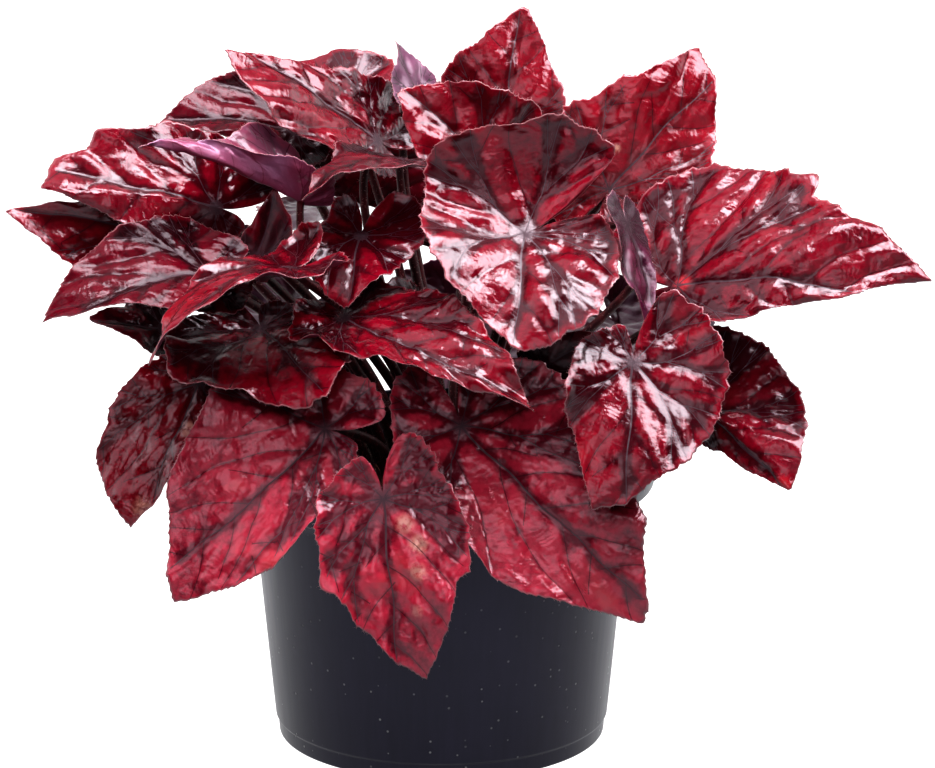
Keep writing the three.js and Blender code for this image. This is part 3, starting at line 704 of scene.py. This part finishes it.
# One blade: rings of points round the heart, the outer rings finer, quilted between its veins, with
# a toothed margin.
def addBlade(heap, form, seed, rng):
    turn, length = placing(form)
    spacing = blade["spacing"] * (blade["coarser"] if form["small"] else 1.0)
    angle, walk = bladeRays(form, length, spacing)
    rings = round(blade["ringShare"] * length / spacing)
    share = np.sort(np.concatenate([np.linspace(0, 1, rings), [blade["lastRing"]]]))
    edge = reach(form, angle) * length
    notch = np.minimum(form["slit"] - angle, angle - form["slit"] + 360)
    veins = Veins(form, length, rng)
    teeth = marginTeeth(form, veins, angle, edge, walk, length, seed) * smooth(notch, 6, 16)
    s, a = np.meshgrid(share, np.radians(angle), indexing="ij")
    r = s * edge + teeth * s ** 9
    x, y = r * np.cos(a), r * np.sin(a)
    u, v = x / length, y / length
    base = bladePoint(form, u, v) * length @ turn.T + np.array(form["heart"], float)
    normal = bladeNormal(form, u, v) @ turn.T

    # the quilting: round puffs between the veins, with ripples across them, wrinkles and a loose crumple
    mainAcross, mainAway, mainHalf = veinField(veins.main, x, y)
    sideAcross, sideAway, sideHalf = veinField(veins.side, x, y)
    dome = 1 - creaseField(veins, x, y)
    groove = np.exp(-(mainAway / blade["veinWidth"]) ** 2) * mainHalf
    room = smooth(r, 1.5, 9) * (0.25 + 0.75 * smooth((1 - s) * edge, 0.0, 4.0))
    vary = 1 + 0.3 * noiseLine(x / 9, y / 8, seed + 3)
    grown = 0.3 + 0.7 * smooth(r, 3, 0.45 * length)
    lift = blade["puffRise"] * form["puffs"] * vary * (dome - 0.5) * grown
    lift += blade["dent"] * wrinkle(x / blade["dentSize"], y / blade["dentSize"], seed + 7)
    size = blade["crinkleSize"]
    lift += blade["crinkle"] * form["crinkle"] * wrinkle(x / size, y / size, seed)
    wander = 1.6 * noiseLine(x / 5, y / 5, seed)
    lift += blade["ripple"] * np.sin(2 * math.pi * (r + wander) / blade["ripplePitch"]) * dome
    lift -= blade["veinDepth"] * groove
    lift *= room
    lift += blade["crumple"] * noiseLine(x / 11, y / 9, seed + 12) * smooth(r, 6, 35)
    frill = np.sin(walk / 5.6 + 1.4 * np.sin(walk / 17 + seed) + seed) + 0.35 * np.sin(walk / 2.3 + seed)
    lift += form["frill"] * frill * smooth(notch, 8, 25) * s ** 7

    body = blade["collar"] + (blade["thickness"] - blade["collar"]) * smooth(r, 0, 7)
    body = body + (blade["marginThickness"] - blade["thickness"]) * smooth(s, 0.8, 1)
    top = base + normal * (lift + body / 2)[..., None]
    under = base + normal * (lift - body / 2 - blade["veinRidge"] * groove * room)[..., None]

    # two skins from the rings, and a rim that joins them at the margin
    faces, used, index = ringFaces(share, len(angle))
    total = int(used.sum())
    values = {
        "mainAcross": np.clip(mainAcross / mainHalf, -9, 9)[used], "mainAway": mainAway[used],
        "sideAcross": np.clip(sideAcross / sideHalf, -9, 9)[used], "sideAway": sideAway[used],
        "puff": (dome * smooth(r, 1.5, 9))[used], "share": s[used], "fromHeart": r[used],
        "warm": form["warm"], "tan": 0.0, "lilac": form["lilac"],
    }
    for kind, along, aside, size, strength in form["spots"]:
        far = np.hypot(u - along, v - aside)[used] / size
        values[kind] = values[kind] + strength * np.exp(-far ** 4)
    heap.add(top[used], faces, 0, **values)
    heap.add(under[used], [face[:, ::-1] for face in faces], 1, **values)
    last = index[-1] + heap.count - 2 * total
    after = np.roll(last, -1)
    heap.join(np.stack([last, last + total, after + total, after], 1), 0)

    # short hairs along the margin
    pick = rng.integers(0, len(angle), blade["hairs"])
    pick = pick[notch[pick] > 8]
    ways = unit(top[-1] - top[-3])[pick] + blade["hairSpread"] * rng.normal(size=(len(pick), 3))
    lengths = blade["hairLength"] * rng.uniform(0.5, 1.2, len(pick))
    addHairs(heap, (top[-1] + under[-1])[pick] / 2, ways, lengths, blade["hairWidth"], 3)


def stalkPath(form):
    turn, length = placing(form)
    zero = np.array(0.0)
    normal = bladeNormal(form, zero, zero) @ turn.T
    forward = unit(bladePoint(form, np.array(0.02), zero) @ turn.T)
    heart = np.array(form["heart"], float)
    foot = np.array([*form["root"], stalk["foot"]])
    tall = np.linalg.norm(heart - foot)
    arrive = unit(0.9 * normal + 0.35 * forward)
    bow = np.array(form["bow"], float)
    rise = foot + [0, 0, 0.4 * tall] + 0.15 * bow
    meet = heart - 0.3 * tall * arrive + bow
    t = np.linspace(0, 1, stalk["steps"] + 1)[:, None]
    path = (1 - t) ** 3 * foot + 3 * t * (1 - t) ** 2 * rise + 3 * t * t * (1 - t) * meet
    return path + t ** 3 * heart, normal


def addStalk(heap, form, seed, rng):
    path, normal = stalkPath(form)
    tangent = unit(np.gradient(path, axis=0))
    tangent[-1] = normal
    side = np.array([1.0, 0, 0])
    n, steps = stalk["sides"], len(path)
    around = 2 * math.pi * np.arange(n) / n
    points, ways = [], []
    for k in range(steps):
        side = side - tangent[k] * (side @ tangent[k])
        side /= np.linalg.norm(side)
        other = np.cross(tangent[k], side)
        t = k / (steps - 1)
        radius = stalk["base"] + (stalk["tip"] - stalk["base"]) * t
        radius *= 1 + 0.05 * math.sin(9 * t + seed) - 0.12 * max(0.0, 1 - abs(t - 0.96) / 0.04)
        ring = np.cos(around)[:, None] * side + np.sin(around)[:, None] * other
        grooved = radius * (1 - 0.05 * np.cos(3 * around + seed))
        points.append(path[k] + ring * grooved[:, None])
        ways.append(ring)
    points, ways = np.array(points), np.array(ways)
    quads = gridQuads(steps, n)
    foot, top = np.arange(n)[::-1], (steps - 1) * n + np.arange(n)
    heap.add(points, [quads, foot[None], top[None]], 2, share=np.repeat(np.linspace(0, 1, steps), n))
    k = rng.integers(2, steps - 1, stalk["hairs"])
    i = rng.integers(0, n, stalk["hairs"])
    hairWays = ways[k, i] + stalk["hairSpread"] * rng.normal(size=(len(k), 3))
    lengths = stalk["hairLength"] * rng.uniform(0.4, 1.2, len(k))
    roots = points[k, i] - stalk["hairRoot"] * ways[k, i]
    addHairs(heap, roots, hairWays, lengths, stalk["hairWidth"], 3)


# Each tone of leaf: its puffs, creases and warm patches as linear colours, its roughness and its gloss.
# The crease colour is painted shade in the creases, and the dark end of the leaf's mottling too. The warm
# colour also paints a sheen on the tops of the puffs. The dark tone is painted shade: a darker copy for
# the leaves deep inside the plant.
leafTones = {
    "red": {"puff": (0.205, 0.002, 0.016), "creaseShadeAndMottle": (0.055, 0.001, 0.006), "warm": (0.38, 0.015, 0.026),
            "rough": 0.11, "gloss": 0.46},
    "rose": {"puff": (0.44, 0.026, 0.06), "creaseShadeAndMottle": (0.115, 0.003, 0.015), "warm": (0.58, 0.075, 0.08),
             "rough": 0.17, "gloss": 0.5},
    # painted shade: a darker copy of the leaf colours for the leaves deep inside the plant
    "dark": {"puff": (0.12, 0.001, 0.011), "creaseShadeAndMottle": (0.026, 0.001, 0.004), "warm": (0.22, 0.006, 0.016),
             "rough": 0.14, "gloss": 0.22},
    "purple": {"puff": (0.10, 0.008, 0.04), "creaseShadeAndMottle": (0.035, 0.002, 0.014), "warm": (0.2, 0.01, 0.04),
               "rough": 0.22, "gloss": 0.3},
}

# The colours that all leaves share. Two colours are the ends of a blend. The vein colour also paints
# shade at the heart.
leafColours = {
    "lilac": (0.40, 0.20, 0.32), "vein": (0.030, 0.010, 0.016), "sideVein": (0.05, 0.004, 0.010),
    # the edge colour is the pale colour of the margin's hairs, with a painted highlight along the margin
    "edge": (0.42, 0.20, 0.22), "tan": (0.55, 0.30, 0.24), "veil": (0.98, 0.91, 1.0),
    "under": ((0.26, 0.03, 0.09), (0.30, 0.13, 0.24)), "underVein": (0.16, 0.015, 0.04),
    "underVeil": (0.95, 0.84, 1.0), "stalk": ((0.03, 0.002, 0.006), (0.10, 0.006, 0.012)),
    "speck": (0.38, 0.16, 0.15), "hair": ((0.42, 0.16, 0.18), (0.62, 0.40, 0.40)),
}

# How fine the noises on a leaf are, and the ripples across its puffs
leafGrain = {
    "blotch": 38, "mottle": 130, "fine": 420, "grain": 2000, "ladder": 2.9, "ladderSway": 22,
    "underBlotch": 60, "underFine": 260, "underGrain": 700,
    "stalkStreak": 300, "stalkSpeck": 900, "hair": 200,
}


# The main and side veins as thin lines: 1 on the vein, 0 beside it
def veinLines(start):
    lines = []
    for name, low, high in (("main", 0.9, 1.6), ("side", 1.0, 2.2)):
        across = start.attribute(name + "Across")
        beside = across.maths("ABSOLUTE", across)
        away = start.attribute(name + "Away")
        lines.append((1 - beside.between(low, high)) * (1 - away.between(0.9, 1.6)))
    return lines


def topMaterial(tone):
    look, shared, grain = leafTones[tone], leafColours, leafGrain
    material, start = newMaterial("leafTop_" + tone)
    puff, share, fromHeart = (start.attribute(name) for name in ("puff", "share", "fromHeart"))
    blotch = start.noise(grain["blotch"])
    mottle, fine = start.noise(grain["mottle"], 3.0, 0.6), start.noise(grain["fine"], 3.0, 0.6)
    # painted shade: darker towards the creases and lighter on the puffs, with the leaf's own mottling from
    # the noises
    body = puff.between(0.1, 0.5) * 0.6 + (blotch - 0.5) * 1.1 + (mottle - 0.5) * 0.9 + (fine - 0.5) * 0.8
    body = (body + start.attribute("warm") * 0.2).between(0.0, 0.8)
    # painted shade: the blade darkens towards the heart, where its funnel is shaded, in the vein colour
    heart = 1 - fromHeart.between(1, 6)
    colour = (heart * 0.7).tint(body.tint(look["creaseShadeAndMottle"], look["puff"]), shared["vein"])
    # a warmer red where the leaf's warm value and warm spots give it, and in blotches on the tops of the
    # puffs as a painted sheen
    glow = blotch.between(0.56, 0.72) * puff * 0.5 + start.attribute("warm")
    colour = glow.tint(colour, look["warm"])
    colour = (start.attribute("tan") * fine.between(0.3, 0.6)).tint(colour, shared["tan"])
    colour = (start.attribute("lilac") * (0.55 + puff * 0.45)).tint(colour, shared["lilac"])
    mainLine, sideLine = veinLines(start)
    colour = (sideLine * 0.75).tint(colour, shared["sideVein"])
    colour = (mainLine * 0.92).tint(colour, shared["vein"])
    # a pale rim along the margin: the pale colour of its hairs, with a painted highlight
    colour = (share.between(0.985, 1.0) * 0.6).tint(colour, shared["edge"])
    rough = look["rough"] + fine * 0.06 + mainLine * 0.3 + heart * 0.2
    # fine ripples across the puffs, round the heart, and a grain
    sway = start.noise(grain["mottle"], 2.0) * grain["ladderSway"]
    ladder = start.maths("SINE", fromHeart * grain["ladder"] + sway) * puff
    height = ladder * 0.12 + fine * 0.85 + start.noise(grain["grain"], 2.0, 0.6) * 0.25
    return finishMaterial(material, colour, rough, height, gloss=look["gloss"], veil=shared["veil"])


def underMaterial():
    material, start = newMaterial("leafUnderside")
    puff, blotch = start.attribute("puff"), start.noise(leafGrain["underBlotch"])
    colour = (puff * 0.5 + (blotch - 0.5) * 1.4).between(0, 0.8).tint(*leafColours["under"])
    colour = (start.attribute("lilac") * (0.5 + puff * 0.4)).tint(colour, leafColours["lilac"])
    mainLine, sideLine = veinLines(start)
    lines = mainLine.maths("MAXIMUM", mainLine, sideLine * 0.7)
    colour = (lines * 0.8).tint(colour, leafColours["underVein"])
    height = start.noise(leafGrain["underGrain"]) * 0.4 + start.noise(leafGrain["underFine"], 3.0, 0.6)
    rough = 0.26 + blotch * 0.12
    return finishMaterial(material, colour, rough, height, gloss=0.6, veil=leafColours["underVeil"])


def stalkMaterial():
    material, start = newMaterial("leafStalk")
    streak = start.noise(leafGrain["stalkStreak"], 3.0, 0.6, stretch=(1, 1, 0.15))
    speck = start.noise(leafGrain["stalkSpeck"], 2.0).between(0.62, 0.7)
    colour = streak.between(0.3, 0.7).tint(*leafColours["stalk"])
    colour = (speck * 0.5).tint(colour, leafColours["speck"])
    return finishMaterial(material, colour, 0.4 + streak * 0.1, streak, depth=0.4, gloss=0.25)


# A finish whose colour only wanders between two
def plainMaterial(name, scale, colours, rough):
    material, start = newMaterial(name)
    return finishMaterial(material, start.noise(scale).tint(*colours), rough)


def addLeaves():
    rng = np.random.default_rng(11)
    tops = {tone: topMaterial(tone) for tone in leafTones}
    hair = plainMaterial("leafHair", leafGrain["hair"], leafColours["hair"], 0.5)
    others = [underMaterial(), stalkMaterial(), hair]
    names = ("mainAcross", "mainAway", "sideAcross", "sideAway", "puff", "share", "fromHeart", "warm", "tan",
             "lilac")
    total = 0
    for seed, (name, form) in enumerate(leaves.items()):
        heap = Heap(names)
        addBlade(heap, form, seed + 1, rng)
        addStalk(heap, form, seed + 1, rng)
        piece = heap.build("begonia_" + name, [tops[form["tone"]], *others])
        total += sum(len(p.vertices) - 2 for p in piece.data.polygons)
        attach(piece, "root")
        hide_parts("leaf_" + name)
        "leaf_" + form["tone"]
    print("leaves made:", len(leaves), "with", total, "triangles")


pot = {
    "height": 117, "foot": 65, "ledge": 6.5, "neck": 76, "neckHeight": 103.3, "lip": 86,
    "wall": 1.3, "floor": 2.2, "ledgeOut": 1.4, "lipIn": 1.8, "corner": 0.9, "sides": 192,
    "drains": 3, "drainWidth": 18, "drainHeight": 4.6, "drainDepth": 16,
    "plastic": ((0.006, 0.006, 0.012), (0.018, 0.017, 0.031)), "veil": (0.82, 0.80, 1.0),
    "dust": (0.4, 0.4, 0.4), "dustScale": 300.0, "streakScale": 260, "cloudScale": 22,
}


def lathe(heap, profile, sides):
    profile = np.array(profile, float)
    a = 2 * math.pi * np.arange(sides) / sides
    rings = np.stack([np.outer(profile[:, 0], np.cos(a)), np.outer(profile[:, 0], np.sin(a)),
                      np.repeat(profile[:, 1:], sides, 1)], -1)
    heap.add(rings, [gridQuads(len(profile), sides)])


# A profile with its corners rounded, as points from the outside of the foot round to the inside
def rounded(profile, radius, steps=5):
    points = [np.array(p, float) for p in profile]
    out = [points[0]]
    for before, here, after in zip(points, points[1:], points[2:]):
        back, ahead = before - here, after - here
        cut = min(radius, 0.45 * np.linalg.norm(back), 0.45 * np.linalg.norm(ahead))
        first = here + back / np.linalg.norm(back) * cut
        last = here + ahead / np.linalg.norm(ahead) * cut
        for t in np.linspace(0, 1, steps):
            out.append((1 - t) ** 2 * first + 2 * t * (1 - t) * here + t * t * last)
    out.append(points[-1])
    return out


def potMaterial():
    material, start = newMaterial("potPlastic")
    streak = start.noise(pot["streakScale"], 4.0, 0.6, stretch=(1, 1, 0.02))
    cloud = start.noise(pot["cloudScale"])
    colour = (streak * 0.6 + cloud * 0.6).between(0.3, 0.9).tint(*pot["plastic"])
    # pale dust: a few small dots, more of them low down
    place = start.make("ShaderNodeTexCoord", {}, {}, "Object")
    cells = {"Vector": place, "Scale": pot["dustScale"]}
    away = start.make("ShaderNodeTexVoronoi", {"feature": "F1"}, cells)
    pick = start.make("ShaderNodeTexVoronoi", {"feature": "F1"}, cells, "Color")
    chance, size = (start.make("ShaderNodeSeparateColor", {}, {0: pick}, k) for k in range(2))
    height = start.make("ShaderNodeSeparateXYZ", {}, {0: place}, 2)
    few = chance.between(0.70, 0.72) * (1 - height.between(0.02, 0.09) * 0.75)
    dot = (1 - away.between(0.1, 0.18)) * few * (0.25 + size * 0.75)
    colour = dot.tint(colour, pot["dust"])
    rough = 0.30 + streak * 0.14 + dot * 0.3
    return finishMaterial(material, colour, rough, streak, 0.12, 0.3, gloss=0.36, veil=pot["veil"])


# The shell is turned from its profile, up the outside and down the inside, and the drains are cut out
def addPot():
    foot, neck, lip, wall, floor = (pot[key] for key in ("foot", "neck", "lip", "wall", "floor"))
    ledge, out, shoulder = pot["ledge"], foot + pot["ledgeOut"], neck - 1
    step, rim, inside = pot["neckHeight"], pot["height"], lip - pot["lipIn"]
    profile = [
        (0.5, 0), (foot, 0), (foot + 0.5, ledge), (out, ledge + 0.8), (shoulder, step - 6),
        (neck, step - 2.5), (inside, step), (lip, rim - 1), (lip - 0.6, rim), (lip - wall - 0.6, rim),
        (inside - wall, step + wall), (neck - wall, step - 1), (shoulder - wall, step - 7),
        (out - wall, ledge + 1.5), (foot - wall, floor), (0.5, floor),
    ]
    heap = Heap()
    lathe(heap, [(0.0001, 0.0), *rounded(profile, pot["corner"]), (0.0001, floor)], pot["sides"])
    shell = heap.build("pot_shell", [potMaterial()])
    for k in range(pot["drains"]):
        bpy.ops.mesh.primitive_cube_add(size=1)
        cutter = bpy.context.object
        cutter.scale = (pot["drainWidth"] * mm, pot["drainDepth"] * mm, 2 * pot["drainHeight"] * mm)
        turn = 2 * math.pi * k / pot["drains"]
        cutter.location = (math.sin(turn) * foot * mm, -math.cos(turn) * foot * mm, 0)
        cutter.rotation_euler = (0, 0, turn)
        cut = shell.modifiers.new("drain", "BOOLEAN")
        cut.operation, cut.solver, cut.object = "DIFFERENCE", "EXACT", cutter
        bpy.context.view_layer.objects.active = shell
        bpy.ops.object.modifier_apply(modifier=cut.name)
        bpy.data.objects.remove(cutter)
    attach(shell, "root")
    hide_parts("pot")
    print("pot made")


compost = {
    "top": 101, "bed": 39, "bedDepth": 7, "seat": 0.35, "swell": 1.2, "rings": 30, "sides": 220,
    "crumbs": 900, "crumbSize": (0.4, 1.5), "perliteShare": 0.07,
    "peat": ((0.008, 0.004, 0.003), (0.05, 0.026, 0.014)), "grainScale": 700, "patchScale": 90,
    "perlite": ((0.45, 0.42, 0.38), (0.7, 0.68, 0.64)), "perliteScale": 500,
}


def soilMaterial():
    material, start = newMaterial("compostPeat")
    grain, patch = start.noise(compost["grainScale"], 4.0, 0.7), start.noise(compost["patchScale"])
    colour = (grain * 0.7 + patch * 0.4).between(0.3, 0.8).tint(*compost["peat"])
    return finishMaterial(material, colour, 0.95, grain, 0.9, 1.0)


def addCompost():
    rng = np.random.default_rng(5)
    seat, bed, top = compost["seat"], compost["bed"], compost["top"]
    side = pot["neck"] - 1 - pot["wall"] - seat
    base = pot["foot"] - pot["wall"] - seat
    low, sunk = pot["floor"] + seat, top - compost["bedDepth"]

    def level(r):
        return top + compost["swell"] * math.sin((side - r) / (side - bed - 2) * math.pi)

    lower = [(0.001, low), (base, low), (base + 1.4, pot["ledge"] + 1.5), (side, pot["neckHeight"] - 7)]
    upper = [(r, level(r) - 0.8) for r in (*np.linspace(side - 0.3, bed + 0.8, compost["rings"]), bed)]
    heap = Heap()
    lathe(heap, lower + upper + [(bed - 1, sunk), (0.001, sunk)], compost["sides"])
    points = heap.points[0]
    x, y, z = points.T
    flat = np.hypot(x, y)
    rough = noiseLine(x / 2.1, y / 2.3, 3) * 0.45
    rough += noiseLine(x / 0.9, y / 0.8, 9) * 0.3 + rng.normal(size=len(points)) * 0.12
    upward = (z > top - 2.5) & (flat < side - 0.8) & (flat > bed + 0.4)
    points[:, 2] += np.where(upward, rough, 0)
    # crumbs of bark and peat, and a few of perlite
    shape = np.array([[1, 0, 0], [-1, 0, 0], [0, 1, 0], [0, -1, 0], [0, 0, 1], [0, 0, -1.0]])
    sides = np.array([[0, 2, 4], [2, 1, 4], [1, 3, 4], [3, 0, 4], [2, 0, 5], [1, 2, 5], [3, 1, 5], [0, 3, 5]])
    for k in range(compost["crumbs"]):
        r = math.sqrt(rng.uniform((bed + 2) ** 2, (side - 2.5) ** 2))
        a = rng.uniform(0, 2 * math.pi)
        big = rng.uniform(*compost["crumbSize"]) ** 1.3
        scale = big * rng.uniform(0.6, 1.3, 3)
        axes = np.linalg.qr(rng.normal(size=(3, 3)))[0]
        crumb = (shape * rng.uniform(0.75, 1.2, (6, 1)) * scale) @ axes
        white = int(rng.uniform() < compost["perliteShare"])
        if np.linalg.det(axes) < 0:
            crumb = -crumb
        height = level(r) - 0.7 + 0.2 * big
        heap.add(crumb + [r * math.cos(a), r * math.sin(a), height], [sides], white)
    perlite = plainMaterial("compostPerlite", compost["perliteScale"], compost["perlite"], 0.9)
    piece = heap.build("compost_surface", [soilMaterial(), perlite])
    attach(piece, "root")
    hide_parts("compost")
    print("compost made")


rhizome = {
    "high": 103.0, "corner": 2.5, "sides": 144, "knobs": 9, "knobDepth": 0.03,
    "levels": [(0.001, 0), (0.93, 0), (0.97, 0.5), (0.9, 0.92), (0.8, 0.97), (0.68, 1), (0.55, 1.0),
               (0.42, 1.0), (0.3, 0.97), (0.15, 0.93), (0.001, 0.92)],
    "stipuleFoot": 102.6, "stipuleHeight": 6.5, "stipuleWidth": 1.9, "stipuleAway": 2.7,
    "stipuleSkin": 0.25, "stipuleSteps": 5, "bandScale": 160, "paperScale": 400,
    "skin": ((0.035, 0.008, 0.006), (0.15, 0.045, 0.03)), "paper": ((0.20, 0.06, 0.05), (0.38, 0.20, 0.14)),
}


def rhizomeMaterial():
    material, start = newMaterial("rhizomeSkin")
    band = start.noise(rhizome["bandScale"], 4.0, 0.6)
    return finishMaterial(material, band.between(0.35, 0.65).tint(*rhizome["skin"]), 0.65, band, 0.7, 1.0)


# A papery stipule beside a stalk's foot: a thin curved skin of three rows of points, with its back
def addStipule(heap, foot, angle):
    n = rhizome["stipuleSteps"]
    t = np.linspace(0, 1, n)
    wide = rhizome["stipuleWidth"] * np.sin(math.pi * (0.15 + 0.85 * t) ** 0.8) + 0.05
    out = rhizome["stipuleAway"] + 1.2 * t ** 2
    up = rhizome["stipuleFoot"] + rhizome["stipuleHeight"] * t
    cosine, sine = math.cos(angle), math.sin(angle)
    rows = []
    for aside, bulge in ((wide, 0), (0 * wide, 0.8), (-wide, 0)):
        away = out + bulge
        rows.append(np.stack([away * cosine - aside * sine, away * sine + aside * cosine, up], 1))
    skin = np.concatenate(rows) + [*foot, 0]
    back = skin - rhizome["stipuleSkin"] * np.array([cosine, sine, 0])
    quads = gridQuads(3, n, closed=False)
    ring = np.array([*range(n), 2 * n - 1, *range(3 * n - 1, 2 * n - 1, -1), n])
    after = np.roll(ring, -1)
    rim = np.stack([after, after + 3 * n, ring + 3 * n, ring], 1)
    heap.add(np.concatenate([skin, back]), [np.roll(quads, -1, 1), quads[:, [0, 3, 2, 1]] + 3 * n, rim], 1)


def addRhizome():
    rng = np.random.default_rng(8)
    radius = compost["bed"] - 1 - compost["seat"]
    low = compost["top"] - compost["bedDepth"] + compost["seat"]
    profile = [(r * radius, low + h * (rhizome["high"] - low)) for r, h in rhizome["levels"]]
    heap = Heap()
    lathe(heap, rounded(profile, rhizome["corner"]), rhizome["sides"])
    points = heap.points[0]
    around = np.arctan2(points[:, 1], points[:, 0])
    points[:, :2] *= (1 - rhizome["knobDepth"] * (1 + np.cos(rhizome["knobs"] * around)))[:, None]
    uneven = 0.5 * noiseLine(points[:, 0] / 2.4, points[:, 1] / 2.6, 4)
    points[:, 2] += np.where(points[:, 2] > low + 4, uneven, 0)
    for form in leaves.values():
        for k in range(2):
            addStipule(heap, form["root"], rng.uniform(0, 2 * math.pi) + math.pi * k)
    paper = plainMaterial("stipulePaper", rhizome["paperScale"], rhizome["paper"], 0.7)
    piece = heap.build("rhizome_crown", [rhizomeMaterial(), paper])
    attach(piece, "root")
    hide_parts("rhizome")
    print("rhizome made")


addCamera()
addLights()
addFloor()
addWorld()
setRoots()
addPot()
addCompost()
addRhizome()
addLeaves()
bpy.context.scene.view_settings.view_transform = "Standard"
bpy.context.scene.view_settings.look = "High Contrast"
bpy.context.view_layer.update()
